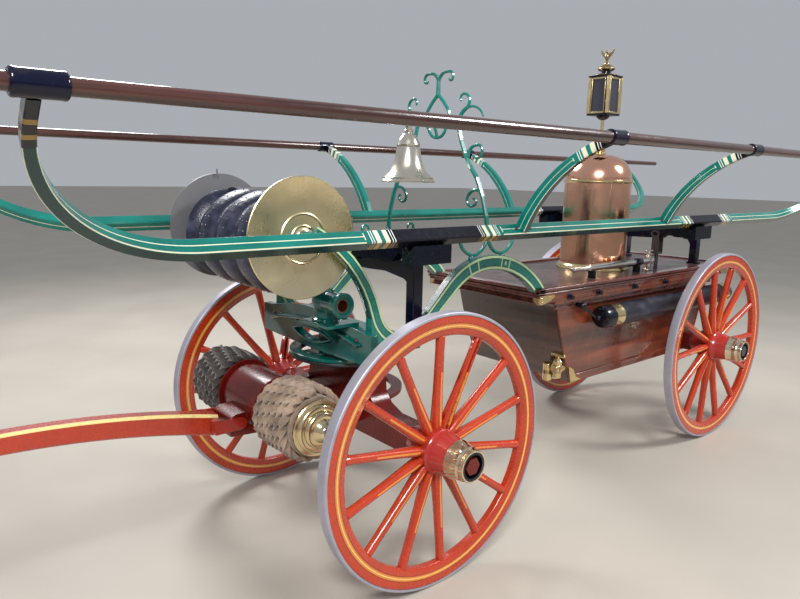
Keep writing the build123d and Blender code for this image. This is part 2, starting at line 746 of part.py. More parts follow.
def make_rocker(x, pins):
    """Rocker arm across the engine, with its trunnion pointing backwards and pins for the pump rods."""
    with BuildPart() as rocker:
        with BuildSketch(Plane.YZ.offset(x - rocker_t / 2)):
            with BuildLine():
                Polyline((-beam_y - 8, beam_z - 2), (-beam_y - 8, rock_z - 10), (-beam_y + 150, rock_z - 10),
                         (-rod_y - 75, rock_z + 14), (-rod_y - 35, rock_z - 22), (-60, rock_z - 30), (60, rock_z - 30),
                         (rod_y + 35, rock_z - 22), (rod_y + 75, rock_z + 14), (beam_y - 150, rock_z - 10), (beam_y + 8, rock_z - 10),
                         (beam_y + 8, beam_z - 2), (beam_y - 60, beam_z + 6), (beam_y - 120, beam_z - 4),
                         (70, rock_z + 40), (-70, rock_z + 40), (-beam_y + 120, beam_z - 4),
                         (-beam_y + 60, beam_z + 6), close=True)
            make_face()
            with Locations((0, rock_z)):
                Circle(rocker_hub_r)
        extrude(amount=rocker_t)
        with Locations(Location((x - rocker_t / 2, 0, rock_z), (0, -90, 0))):
            Cylinder(trunnion_r, trunnion_l, align=(Align.CENTER, Align.CENTER, Align.MIN))
        for side in (1, -1):
            with Locations((x + shoe_l / 5, side * (beam_y - 4), rock_z - shoe_low)):
                Box(shoe_l, shoe_w, beam_z - rock_z - 4, align=(Align.CENTER, Align.CENTER, Align.MIN))
        if pins:
            with Locations(Location((x, rod_y, rock_z), (0, 90, 0)), Location((x, -rod_y, rock_z), (0, 90, 0))):
                Cylinder(rod_pin_r, rocker_t + 2 * fork_t + 6)
        add(levers["near"], mode=Mode.SUBTRACT)
        add(levers["far"], mode=Mode.SUBTRACT)
    return rocker.part


write(make_rocker(rocker_front_x, False), "rocker_front")
write(make_rocker(rocker_rear_x, True), "rocker_rear")


def bearing_head(x, low, half):
    """Cross-head with the trunnion's bearing on top."""
    with BuildPart() as head:
        with BuildSketch(Plane.YZ.offset(x)):
            with BuildLine():
                Polyline((-half, low), (half, low), (half, low + 40), (60, rock_z - 60), (40, rock_z), (-40, rock_z),
                         (-60, rock_z - 60), (-half, low + 40), close=True)
            make_face()
            with Locations((0, rock_z)):
                Circle(42)
                Circle(trunnion_r + running, mode=Mode.SUBTRACT)
        extrude(amount=head_w)
    return head.part


front_head_x = rocker_front_x - rocker_t / 2 - 4 - head_w
post_w = 46
post_half = neck_y + post_w / 2
with BuildPart() as front_stand:
    with BuildSketch(Plane.YZ.offset(front_head_x)):
        with BuildLine():
            Polyline((-post_half, bolster_top + 55), (-post_half, rock_z + 24), (-post_half + post_w, rock_z + 24),
                     (-post_half + post_w, rock_z - 40), (-60, rock_z - 28), (60, rock_z - 28),
                     (post_half - post_w, rock_z - 40), (post_half - post_w, rock_z + 24), (post_half, rock_z + 24),
                     (post_half, bolster_top + 55), (post_half - post_w, bolster_top + 55),
                     (post_half - post_w, rock_z - 95), (-post_half + post_w, rock_z - 95),
                     (-post_half + post_w, bolster_top + 55), close=True)
        make_face()
        with Locations((0, rock_z)):
            Circle(42)
            Circle(trunnion_r + running, mode=Mode.SUBTRACT)
    extrude(amount=head_w)
    add(make_neck(1), mode=Mode.SUBTRACT)
    add(make_neck(-1), mode=Mode.SUBTRACT)
write(front_stand.part, "front_stand")

rear_head_x = rocker_rear_x - rocker_t / 2 - 4 - head_w
with BuildPart() as rear_stand:
    add(bearing_head(rear_head_x, deck_top + 70, 190))
    for side in (1, -1):
        with Locations((rear_head_x + 25, side * 175, deck_top)):
            Box(90, 44, 14, align=(Align.CENTER, Align.CENTER, Align.MIN))
            Box(50, 26, 80, align=(Align.CENTER, Align.CENTER, Align.MIN))
write(rear_stand.part, "rear_stand")

# Pump rods: each fork holds a pin of the rear rocker arm in a short level slot
rod_low = tub_top - rim_h - 300
fork_low = rock_z - 120
for name, side in (("near", 1), ("far", -1)):
    with BuildPart() as rod:
        with Locations((rocker_rear_x, side * rod_y, rod_low)):
            Cylinder(rod_r, fork_low - rod_low + 2, align=(Align.CENTER, Align.CENTER, Align.MIN))
        with Locations((rocker_rear_x, side * rod_y, fork_low)):
            Box(rocker_t + 2 * (fork_t + slip), 40, 12, align=(Align.CENTER, Align.CENTER, Align.MIN))
        for x in (-1, 1):
            with BuildSketch(Plane.YZ.offset(rocker_rear_x + x * (rocker_t / 2 + slip + fork_t / 2))):
                with Locations((side * rod_y, (fork_low + rock_z) / 2)):
                    Rectangle(40, rock_z - fork_low)
                with Locations((side * (rod_y - rod_slot / 2), rock_z)):
                    SlotCenterToCenter(rod_slot + 6, 40)
                    SlotCenterToCenter(rod_slot + 4, 2 * rod_pin_r + 3, mode=Mode.SUBTRACT)
            extrude(amount=fork_t / 2, both=True)
    write(rod.part, "pump_rod_" + name)

# Bell
bell_plane = Plane(origin=(bell_x, 0, bell_lip_z), x_dir=(1, 0, 0), z_dir=(0, -1, 0))
bell_pivot_z = bell_lip_z + bell_h + 31
bell_pin_r = 6
with BuildPart() as bell:
    with BuildSketch(bell_plane):
        with BuildLine():
            Line((bell_lip_r - 12, 0), (bell_lip_r, 4))
            ThreePointArc((bell_lip_r, 4), (74, 80), (60, 168))
            ThreePointArc((60, 168), (50, 196), (16, bell_h))
            Line((16, bell_h), (0, bell_h))
            Line((0, bell_h), (0, bell_h - 12))
            Line((0, bell_h - 12), (16, bell_h - 12))
            ThreePointArc((16, bell_h - 12), (44, 188), (60 - bell_wall, 166))
            ThreePointArc((60 - bell_wall, 166), (74 - bell_wall, 80), (bell_lip_r - 12, 0))
        make_face()
    revolve(axis=upright_axis(bell_x))
    with Locations((bell_x, 0, bell_lip_z + bell_h - 2)):
        Cylinder(14, 10, align=(Align.CENTER, Align.CENTER, Align.MIN))
    for y in (8.5, -8.5):
        with Locations((bell_x, y, bell_lip_z + bell_h + 4)):
            Box(20, 6, 38, align=(Align.CENTER, Align.CENTER, Align.MIN))
    with Locations(Location((bell_x, 0, bell_pivot_z), (90, 0, 0))):
        Cylinder(bell_pin_r, 23)
write(bell.part, "bell")

with BuildPart() as clapper:
    with Locations((bell_x, 0, bell_lip_z + 26)):
        Sphere(15)
        Cylinder(4, bell_h - 38, align=(Align.CENTER, Align.CENTER, Align.MIN))
write(clapper.part, "clapper")

# Scrolled iron frame that carries the bell, standing on the crane necks
crest_z = 1990


def stem_lines(side):
    """One upright: it springs from the foot scrolls, leans in to a waist and curls out at its top."""
    low = ThreePointArc((side * neck_y, scroll_foot), (side * 304, 1468), (side * 230, 1584))
    high = ThreePointArc(low @ 1, (side * 160, 1694), (side * 148, 1822))
    curl = ThreePointArc(high @ 1, (side * 176, 1894), (side * 214, 1856))
    ThreePointArc(curl @ 1, (side * 204, 1836), (side * 186, 1848))


def twig_lines(side):
    """The curls that branch off one upright."""
    ThreePointArc((side * 152, 1800), (side * 214, 1806), (side * 262, 1832))
    ThreePointArc((side * 304, 1468), (side * 262, 1522), (side * 226, 1478))
    ThreePointArc((side * 226, 1478), (side * 238, 1448), (side * 262, 1466))


def crest_lines(side):
    """One half of the crest over the bell: a curl at the top, and a leg down to the upright's waist."""
    ThreePointArc((0, crest_z - 70), (side * 26, crest_z - 8), (side * 84, crest_z - 22))
    ThreePointArc((side * 84, crest_z - 22), (side * 98, crest_z - 48), (side * 72, crest_z - 54))
    leg = ThreePointArc((0, 1900), (side * 62, 1842), (side * 143, 1800))
    ThreePointArc(leg @ 1, (side * 138, 1742), (side * 84, 1732))


with BuildPart() as frame:
    for side in (1, -1):
        for lines in (stem_lines, twig_lines, crest_lines):
            with BuildSketch(Plane.YZ.offset(frame_x)):
                with BuildLine() as path:
                    lines(side)
                trace(path.edges(), line_width=scroll_w)
            extrude(amount=scroll_t / 2, both=True)
        for way in (1, -1):
            with BuildSketch(Plane.XZ.offset(-side * neck_y)):
                with BuildLine() as path:
                    foot = ThreePointArc((frame_x, scroll_foot + 4), (frame_x + way * 64, arch_top + 49),
                                         (frame_x + way * 128, scroll_foot - 26))
                    ThreePointArc(foot @ 1, (frame_x + way * 108, scroll_foot + 2), (frame_x + way * 88, scroll_foot - 18))
                trace(path.edges(), line_width=scroll_w)
            extrude(amount=scroll_t / 2, both=True)
            with Locations((frame_x + way * 64, side * neck_y, arch_top + 54)):
                Cylinder(10, 34, align=(Align.CENTER, Align.CENTER, Align.MAX))
    with BuildSketch(Plane.YZ.offset(frame_x)):
        with BuildLine():
            Line((0, 1786), (0, crest_z - 60))
        trace(line_width=scroll_w)
    extrude(amount=scroll_t / 2, both=True)
    with BuildSketch(Plane.XZ):
        with BuildLine():
            ThreePointArc((frame_x, 1800), (frame_x + 110, 1850), (bell_x - 3, bell_pivot_z + 12))
        trace(line_width=scroll_w)
    extrude(amount=5, both=True)
    with BuildSketch(Plane.XZ):
        with Locations((bell_x, bell_pivot_z)):
            Circle(14)
            Circle(bell_pin_r + running, mode=Mode.SUBTRACT)
    extrude(amount=5, both=True)
    with Locations(Location((bell_x, 0, bell_pivot_z), (90, 0, 0))):
        Cylinder(bell_pin_r + running, 40, mode=Mode.SUBTRACT)
    add(make_neck(1), mode=Mode.SUBTRACT)
    add(make_neck(-1), mode=Mode.SUBTRACT)
write(frame.part, "bell_frame")

# Hard suction hose on each side of the tub, with brass couplings
for name, side in (("near", 1), ("far", -1)):
    with BuildPart() as suction:
        with Locations(Location((suction_rear, side * suction_y, suction_z), (0, 90, 0))):
            Cylinder(suction_r, suction_front - suction_rear, align=(Align.CENTER, Align.CENTER, Align.MIN))
        fillet(suction.edges().filter_by(GeomType.CIRCLE), 16)
    write(suction.part, "suction_hose_" + name)

# Play pipe on the deck
with BuildPart() as play_pipe:
    with Locations(Location((rear_axle_x + 750, pipe_y, deck_top + 46), (0, 90, 0))):
        Cone(21, 12, 780)
    for x in (rear_axle_x + 480, rear_axle_x + 1000):
        with Locations((x, pipe_y, deck_top)):
            Box(26, 30, 40, align=(Align.CENTER, Align.CENTER, Align.MIN))
write(play_pipe.part, "play_pipe")

# Outlet elbow on the bolster
with BuildPart() as outlet:
    with Locations(Location((outlet_x, outlet_y, outlet_z), (-90, 0, 0))):
        Cylinder(46, 16, align=(Align.CENTER, Align.CENTER, Align.MIN))
        Cylinder(40, outlet_y - 190, align=(Align.CENTER, Align.CENTER, Align.MAX))
        Cylinder(outlet_bore, 120, mode=Mode.SUBTRACT)
write(outlet.part, "outlet")
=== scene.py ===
"""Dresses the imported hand-pumped fire engine: wheels, brakes, reels, tub, copper air chamber and trim."""

import logging
import math

from dataclasses import dataclass, field
from enum import Enum
from typing import Optional, Sequence

import bmesh
import bpy
from mathutils import Matrix, Vector

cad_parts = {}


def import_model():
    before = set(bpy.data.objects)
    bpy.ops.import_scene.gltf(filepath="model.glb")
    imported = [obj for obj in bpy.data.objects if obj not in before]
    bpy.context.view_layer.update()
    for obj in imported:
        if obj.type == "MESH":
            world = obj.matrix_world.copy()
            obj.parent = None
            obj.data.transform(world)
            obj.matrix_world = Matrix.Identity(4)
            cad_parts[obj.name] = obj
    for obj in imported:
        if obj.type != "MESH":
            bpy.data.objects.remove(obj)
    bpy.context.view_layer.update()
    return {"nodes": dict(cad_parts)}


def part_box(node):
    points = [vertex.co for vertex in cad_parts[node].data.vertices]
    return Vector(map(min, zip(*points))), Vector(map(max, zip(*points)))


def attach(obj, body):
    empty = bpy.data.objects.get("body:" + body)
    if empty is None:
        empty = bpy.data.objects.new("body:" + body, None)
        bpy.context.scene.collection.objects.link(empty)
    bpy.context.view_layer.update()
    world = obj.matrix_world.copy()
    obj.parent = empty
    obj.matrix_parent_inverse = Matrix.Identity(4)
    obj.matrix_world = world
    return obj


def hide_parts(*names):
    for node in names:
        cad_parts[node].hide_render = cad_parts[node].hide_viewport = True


LOG = logging.getLogger("fire_engine")
Colour = tuple[float, float, float]
Pair = tuple[float, float]
Socket = bpy.types.NodeSocket

X_AXIS = Vector((1, 0, 0))
Y_AXIS = Vector((0, 1, 0))
Z_AXIS = Vector((0, 0, 1))

CREAM: Colour = (0.86, 0.84, 0.62)
WHITE: Colour = (0.90, 0.93, 0.88)
GOLD: Colour = (0.86, 0.52, 0.10)
PALE_GOLD: Colour = (0.93, 0.74, 0.30)
BLACK: Colour = (0.004, 0.004, 0.010)
LIME: Colour = (0.50, 0.66, 0.36)


class Graph:
    """Short words for the nodes of one material."""

    def __init__(self, name: str) -> None:
        """Start a material with an empty tree but for its shader and output.

        Args:
            name: the material's name.
        """
        self.material = bpy.data.materials.new(name)
        self.material.use_nodes = True
        self.tree = self.material.node_tree
        self.shader = next(n for n in self.tree.nodes if n.type == "BSDF_PRINCIPLED")
        self._coordinates = None

    def node(self, kind: str, **settings: object) -> bpy.types.Node:
        """Add a node of this kind with these settings.

        Args:
            kind: the node's type.
            settings: its properties by name.

        Returns:
            The node.
        """
        made = self.tree.nodes.new(kind)
        for key, value in settings.items():
            setattr(made, key, value)
        return made

    def put(self, socket: Socket, value: object) -> None:
        """Link a socket, or set a plain value, on an input.

        Args:
            socket: the input.
            value: another socket, a number or a colour.
        """
        if isinstance(value, Socket):
            self.tree.links.new(value, socket)
        elif isinstance(value, tuple) and len(value) == 3 and socket.type == "RGBA":
            socket.default_value = (*value, 1.0)
        else:
            socket.default_value = value

    def set(self, **values: object) -> None:
        """Set inputs of the shader, with underscores for the spaces in their names."""
        for key, value in values.items():
            self.put(self.shader.inputs[key.replace("_", " ")], value)

    def math(self, operation: str, *values: object, clamp: bool = False) -> Socket:
        """Return the result of a math node.

        Args:
            operation: the node's operation.
            values: its inputs, sockets or numbers.
            clamp: whether the result stays within 0 and 1.

        Returns:
            The result's socket.
        """
        made = self.node("ShaderNodeMath", operation=operation, use_clamp=clamp)
        for socket, value in zip(made.inputs, values):
            self.put(socket, value)
        return made.outputs[0]

    def mix(self, share: object, first: object, second: object) -> Socket:
        """Return a colour between two, by a share from 0 to 1.

        Args:
            share: how much of the second colour shows.
            first: a colour.
            second: another colour.

        Returns:
            The result's socket.
        """
        made = self.node("ShaderNodeMix", data_type="RGBA")
        self.put(made.inputs[0], share)
        self.put(made.inputs[6], first)
        self.put(made.inputs[7], second)
        return made.outputs[2]

    def ramp(self, value: object, low: float, high: float, to_low: float = 0.0, to_high: float = 1.0):
        """Return the value mapped from one range to another, clamped.

        Args:
            value: the socket to map.
            low, high: the range that is read.
            to_low, to_high: the range that is given.

        Returns:
            The mapped value's socket.
        """
        made = self.node("ShaderNodeMapRange")
        for socket, number in zip(made.inputs, (value, low, high, to_low, to_high)):
            self.put(socket, number)
        return made.outputs[0]

    def place(self) -> Socket:
        """Return the object coordinates, in metres.

        Returns:
            The coordinates' socket.
        """
        if self._coordinates is None:
            self._coordinates = self.node("ShaderNodeTexCoord").outputs["Object"]
        return self._coordinates

    def layer(self, name: str) -> Socket:
        """Return a mesh attribute by its name."""
        return self.node("ShaderNodeAttribute", attribute_name=name).outputs["Fac"]

    def stretched(self, scale: Sequence[float]) -> Socket:
        """Return object coordinates multiplied by a factor on each axis.

        Args:
            scale: the three factors.

        Returns:
            The result's socket.
        """
        made = self.node("ShaderNodeMapping")
        self.put(made.inputs["Vector"], self.place())
        made.inputs["Scale"].default_value = scale
        return made.outputs[0]

    def noise(self, scale: float, detail: float = 3.0, where: object = None) -> Socket:
        """Return a noise value at this scale.

        Args:
            scale: how fine it is.
            detail: how many finer layers it has.
            where: its coordinates, the object's unless given.

        Returns:
            The result's socket.
        """
        made = self.node("ShaderNodeTexNoise")
        self.put(made.inputs["Vector"], self.place() if where is None else where)
        made.inputs["Scale"].default_value = scale
        made.inputs["Detail"].default_value = detail
        return made.outputs["Fac"]

    def bump(self, height: object, depth: float, strength: float = 1.0) -> None:
        """Drive the shader's normal from a height, with its depth in metres.

        Args:
            height: the socket of the height.
            depth: what a height of 1 means, in metres.
            strength: how much of it shows.
        """
        made = self.node("ShaderNodeBump")
        made.inputs["Distance"].default_value = depth
        made.inputs["Strength"].default_value = strength
        self.put(made.inputs["Height"], height)
        self.tree.links.new(made.outputs[0], self.shader.inputs["Normal"])


class Measure(Enum):
    """What a painted stripe is measured along."""

    ALONG = "along"
    ACROSS = "across"
    OVER = "over"


@dataclass(frozen=True)
class Stripe:
    """A painted line: where its middle lies on a measure, its width, and the limits of its run."""

    measure: Measure
    centre: float
    width: float
    colour: Colour
    limits: tuple[tuple[Measure, float, float], ...] = ()

    def mask(self, graph: Graph) -> Socket:
        """Return 1 on the stripe and 0 beside it.

        Args:
            graph: the material's nodes.

        Returns:
            The mask's socket.
        """
        offset = graph.math("SUBTRACT", graph.layer(self.measure.value), self.centre)
        mask = graph.math("LESS_THAN", graph.math("ABSOLUTE", offset), self.width / 2)
        for measure, low, high in self.limits:
            value = graph.layer(measure.value)
            inside = graph.math(
                "MULTIPLY", graph.math("GREATER_THAN", value, low), graph.math("LESS_THAN", value, high),
            )
            mask = graph.math("MULTIPLY", mask, inside)
        return mask


@dataclass(frozen=True)
class Finish:
    """A surface finish, made once as a material and then shared."""

    name: str

    def build(self) -> bpy.types.Material:
        """Return this finish's material, making it the first time.

        Returns:
            The material.
        """
        found = bpy.data.materials.get(self.name)
        if found is None:
            graph = Graph(self.name)
            self.dress(graph)
            found = graph.material
        return found

    def dress(self, graph: Graph) -> None:
        """Wire the material's nodes."""
        raise NotImplementedError


@dataclass(frozen=True)
class Enamel(Finish):
    """Brushed coach paint with stripes, slight dirt and a clear gloss."""

    colour: Colour = (0.5, 0.5, 0.5)
    shade: float = 0.7
    roughness: float = 0.26
    coat: float = 0.5
    stripes: tuple[Stripe, ...] = ()
    specular: float = 0.5

    def dress(self, graph: Graph) -> None:
        """Mix two shades by a slow noise, lay the stripes over them and add brush marks.

        Args:
            graph: the material's nodes.
        """
        dark = tuple(c * self.shade for c in self.colour)
        slow = graph.ramp(graph.noise(5.0, 4.0), 0.35, 0.7)
        colour = graph.mix(slow, self.colour, dark)
        for stripe in self.stripes:
            colour = graph.mix(stripe.mask(graph), colour, stripe.colour)
        fine = graph.noise(90.0, 3.0)
        dirt = graph.ramp(graph.noise(22.0, 6.0), 0.62, 0.85, 0.0, 0.35)
        colour = graph.mix(dirt, colour, (0.05, 0.035, 0.025))
        rough = graph.ramp(fine, 0.3, 0.7, self.roughness, self.roughness + 0.12)
        graph.set(
            Base_Color=colour, Roughness=rough, Coat_Weight=self.coat, Coat_Roughness=0.08,
            Specular_IOR_Level=self.specular,
        )
        graph.bump(graph.noise(140.0, 2.0), 0.0003, 0.15)


@dataclass(frozen=True)
class Metal(Finish):
    """Bare or polished metal with tarnish and hairline wear."""

    colour: Colour = (0.8, 0.8, 0.8)
    tarnish: Colour = (0.3, 0.3, 0.3)
    tarnished: float = 0.3
    roughness: float = 0.2
    metallic: float = 1.0
    pitted: float = 0.0

    def dress(self, graph: Graph) -> None:
        """Mix polish and tarnish by noise, and vary the gloss with them.

        Args:
            graph: the material's nodes.
        """
        cloud = graph.ramp(graph.noise(9.0, 6.0), 0.42, 0.75, 0.0, self.tarnished)
        spots = graph.ramp(graph.noise(70.0, 4.0), 0.62, 0.75, 0.0, self.tarnished * 0.7)
        worn = graph.math("MAXIMUM", cloud, spots)
        rough = graph.math("ADD", graph.math("MULTIPLY", worn, 0.45), self.roughness, clamp=True)
        graph.set(
            Base_Color=graph.mix(worn, self.colour, self.tarnish), Roughness=rough, Metallic=self.metallic,
        )
        hair = graph.noise(260.0, 2.0)
        graph.bump(hair, 0.0002 + 0.0012 * self.pitted, 0.25 + 0.6 * self.pitted)


@dataclass(frozen=True)
class Timber(Finish):
    """Varnished wood with its grain along one axis."""

    light: Colour = (0.30, 0.10, 0.045)
    dark: Colour = (0.10, 0.028, 0.014)
    squeeze: tuple[float, float, float] = (1.2, 22.0, 22.0)
    roughness: float = 0.22
    coat: float = 0.6

    def dress(self, graph: Graph) -> None:
        """Stretch noise along the grain for figure and pores.

        Args:
            graph: the material's nodes.
        """
        figure = graph.noise(1.4, 5.0, graph.stretched(self.squeeze))
        pores = graph.noise(9.0, 3.0, graph.stretched(self.squeeze))
        share = graph.ramp(figure, 0.36, 0.66)
        colour = graph.mix(share, self.light, self.dark)
        colour = graph.mix(
            graph.ramp(pores, 0.60, 0.74, 0.0, 0.55), colour, tuple(c * 0.35 for c in self.dark),
        )
        rough = graph.ramp(graph.noise(14.0, 4.0), 0.3, 0.75, self.roughness, self.roughness + 0.18)
        graph.set(Base_Color=colour, Roughness=rough, Coat_Weight=self.coat, Coat_Roughness=0.1)
        graph.bump(pores, 0.0006, 0.3)


@dataclass(frozen=True)
class Hide(Finish):
    """Black leather, oiled, with a fine grain and scuffs."""

    colour: Colour = (0.012, 0.012, 0.018)
    scuff: Colour = (0.09, 0.085, 0.12)

    def dress(self, graph: Graph) -> None:
        """Scatter cells for the grain and noise for the scuffs.

        Args:
            graph: the material's nodes.
        """
        scuffs = graph.ramp(graph.noise(16.0, 6.0), 0.48, 0.75, 0.0, 0.8)
        cells = graph.node("ShaderNodeTexVoronoi")
        graph.put(cells.inputs["Vector"], graph.place())
        cells.inputs["Scale"].default_value = 190.0
        graph.set(
            Base_Color=graph.mix(scuffs, self.colour, self.scuff),
            Roughness=graph.ramp(scuffs, 0, 1, 0.32, 0.6),
        )
        graph.bump(cells.outputs["Distance"], 0.0012, 0.5)


@dataclass(frozen=True)
class Glass(Finish):
    """Dark glass that shows a dim inside."""

    colour: Colour = (0.02, 0.02, 0.03)

    def dress(self, graph: Graph) -> None:
        """Tint by noise and leave a sharp gloss."""
        cloud = graph.ramp(graph.noise(30.0, 3.0), 0.3, 0.8)
        graph.set(
            Base_Color=graph.mix(cloud, self.colour, (0.05, 0.05, 0.07)), Roughness=0.06, Coat_Weight=0.6,
        )


@dataclass(frozen=True)
class Laid(Finish):
    """Laid rope: pale fibres with dirt in the lay."""

    light: Colour = (0.50, 0.38, 0.27)
    dark: Colour = (0.16, 0.11, 0.075)

    def dress(self, graph: Graph) -> None:
        """Darken by noise and raise fine fibres.

        Args:
            graph: the material's nodes.
        """
        soil = graph.ramp(graph.noise(13.0, 5.0), 0.35, 0.75)
        graph.set(Base_Color=graph.mix(soil, self.light, self.dark), Roughness=0.85, Sheen_Weight=0.3)
        graph.bump(graph.noise(240.0), 0.0025, 0.8)


def shifted(profile: Sequence[Pair], along: float = 0.0, out: float = 0.0) -> list[Pair]:
    """Return a profile moved along its axis and out from it."""
    return [(a + along, r + out) for a, r in profile]


def middle_of(node: str) -> tuple[float, float, float]:
    """Return the middle of a CAD node's box."""
    low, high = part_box(node)
    return tuple((a + b) / 2 for a, b in zip(low, high))


def axle_x(end: str) -> float:
    """Return where an axle stands along the engine."""
    return middle_of(f"{end}_tyre_near")[0]


def ring_of(half: Sequence[Pair]) -> list[Pair]:
    """Return a closed outline from its +Y half."""
    return list(half) + [(-a, b) for a, b in reversed(half)]


class Piece:
    """One named object in the making: shapes by bmesh operators, each with the finish in use."""

    def __init__(self, name: str, finish: Finish) -> None:
        """Start an empty mesh with the layers that stripes follow.

        Args:
            name: the object's name.
            finish: the first finish.
        """
        self.name = name
        self.mesh = bmesh.new()
        self.along = self.mesh.verts.layers.float.new("along")
        self.across = self.mesh.verts.layers.float.new("across")
        self.over = self.mesh.verts.layers.float.new("over")
        self.stamped = self.mesh.faces.layers.int.new("stamped")
        self.finishes: list[Finish] = [finish]
        self.current = 0

    def use(self, finish: Finish) -> "Piece":
        """Use this finish for what is added next.

        Args:
            finish: the surface finish.

        Returns:
            This piece.
        """
        self.stamp()
        if finish not in self.finishes:
            self.finishes.append(finish)
        self.current = self.finishes.index(finish)
        return self

    def stamp(self) -> None:
        """Give the faces added since the last call the finish in use."""
        for face in self.mesh.faces:
            if not face[self.stamped]:
                face[self.stamped] = 1
                face.material_index = self.current

    def lathe(
        self, profile: Sequence[Pair], origin: Vector, axis: Vector = Z_AXIS, steps: int = 48, closed: bool = False,
        arc: float = math.tau,
    ) -> "Piece":
        """Turn a profile about an axis.

        Args:
            profile: places along the axis and radii, in metres.
            origin: where the axis starts.
            axis: the axis's direction.
            steps: how many steps make the arc.
            closed: whether the profile's end joins its start.
            arc: the angle turned, a full circle unless given.

        Returns:
            This piece.
        """
        axis = Vector(axis).normalized()
        side = axis.orthogonal().normalized()
        rim = []
        for height, radius in profile:
            vert = self.mesh.verts.new(Vector(origin) + axis * height + side * radius)
            vert[self.across] = radius
            vert[self.over] = height
            rim.append(vert)
        pairs = list(zip(rim, rim[1:])) + ([(rim[-1], rim[0])] if closed else [])
        edges = [self.mesh.edges.new(pair) for pair in pairs]
        full = arc > math.tau - 1e-6
        bmesh.ops.spin(
            self.mesh, geom=rim + edges, cent=origin, axis=axis, angle=arc, steps=steps, use_merge=full,
        )
        on_axis = [v for v in self.mesh.verts if v[self.across] < 1e-6 and v.is_valid]
        bmesh.ops.remove_doubles(self.mesh, verts=on_axis, dist=1e-6)
        self.stamp()
        return self

    def prism(self, outline: Sequence[Vector], depth: Vector) -> "Piece":
        """Close an outline into a face and draw it out by a vector.

        Args:
            outline: its corners in order.
            depth: how far and which way it is drawn.

        Returns:
            This piece.
        """
        face = self.mesh.faces.new([self.mesh.verts.new(p) for p in outline])
        made = bmesh.ops.extrude_face_region(self.mesh, geom=[face])["geom"]
        bmesh.ops.translate(
            self.mesh, vec=depth, verts=[v for v in made if isinstance(v, bmesh.types.BMVert)],
        )
        self.stamp()
        return self

    def block(self, middle: Sequence[float], size: Sequence[float], turn: Optional[Matrix] = None) -> "Piece":
        """Add a block by its middle and size, turned if asked.

        Args:
            middle: where its middle lies.
            size: its three sizes, in metres.
            turn: its turn about its middle, or none.

        Returns:
            This piece.
        """
        made = bmesh.ops.create_cube(self.mesh, size=1.0)["verts"]
        bmesh.ops.scale(self.mesh, vec=size, verts=made)
        if turn is not None:
            bmesh.ops.rotate(self.mesh, cent=(0, 0, 0), matrix=turn, verts=made)
        bmesh.ops.translate(self.mesh, vec=middle, verts=made)
        self.stamp()
        return self

    def ball(
        self, middle: Sequence[float], radius: float, squash: Sequence[float] = (1, 1, 1), steps: int = 20
    ) -> "Piece":
        """Add a ball, flattened by a factor on each axis.

        Args:
            middle: where its middle lies.
            radius: the radius, in metres.
            squash: the factor on each axis.
            steps: how many sides go round.

        Returns:
            This piece.
        """
        rows = max(4, steps * 3 // 5)
        made = bmesh.ops.create_uvsphere(self.mesh, u_segments=steps, v_segments=rows, radius=radius)["verts"]
        bmesh.ops.scale(self.mesh, vec=squash, verts=made)
        bmesh.ops.translate(self.mesh, vec=middle, verts=made)
        self.stamp()
        return self

    def bolt(
        self, at: Sequence[float], out: Sequence[float], radius: float = 0.009, height: float = 0.005,
    ) -> "Piece":
        """Add a domed bolt head that stands out of a face."""
        dome = [
            (-0.003, radius), (height * 0.4, radius), (height * 0.85, radius * 0.7), (height, radius * 0.25),
            (height, 0),
        ]
        return self.lathe([(-0.003, 0.0)] + dome, Vector(at), Vector(out), 12)

    def rod(self, start: Sequence[float], end: Sequence[float], radius: float, steps: int = 16) -> "Piece":
        """Add a plain round rod between two points."""
        run = Vector(end) - Vector(start)
        return self.lathe(
            [(0, 0), (0, radius), (run.length, radius), (run.length, 0)], Vector(start), run, steps,
        )

    def done(
        self, body: str, replaces: Sequence[str] = (), bevel: float = 0.0012,
        smooth: float = 38.0,
    ) -> bpy.types.Object:
        """Make the object, finish its edges and hang it on its body.

        Args:
            body: the body that carries it.
            replaces: the CAD nodes that it stands for.
            bevel: the width of its edges' bevel, or 0 for none.
            smooth: the angle in degrees over which an edge stays sharp.

        Returns:
            The object.
        """
        self.stamp()
        bmesh.ops.recalc_face_normals(self.mesh, faces=self.mesh.faces)
        data = bpy.data.meshes.new(self.name)
        self.mesh.to_mesh(data)
        self.mesh.free()
        for finish in self.finishes:
            data.materials.append(finish.build())
        data.polygons.foreach_set("use_smooth", [True] * len(data.polygons))
        data.set_sharp_from_angle(angle=math.radians(smooth))
        made = bpy.data.objects.new(self.name, data)
        bpy.context.scene.collection.objects.link(made)
        if bevel:
            edge = made.modifiers.new("edges", "BEVEL")
            edge.width = bevel
            edge.segments = 2
            edge.limit_method = "ANGLE"
            edge.angle_limit = math.radians(40)
        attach(made, body)
        if replaces:
            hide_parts(*replaces)
        LOG.info("%s rides on %s", self.name, body)
        return made


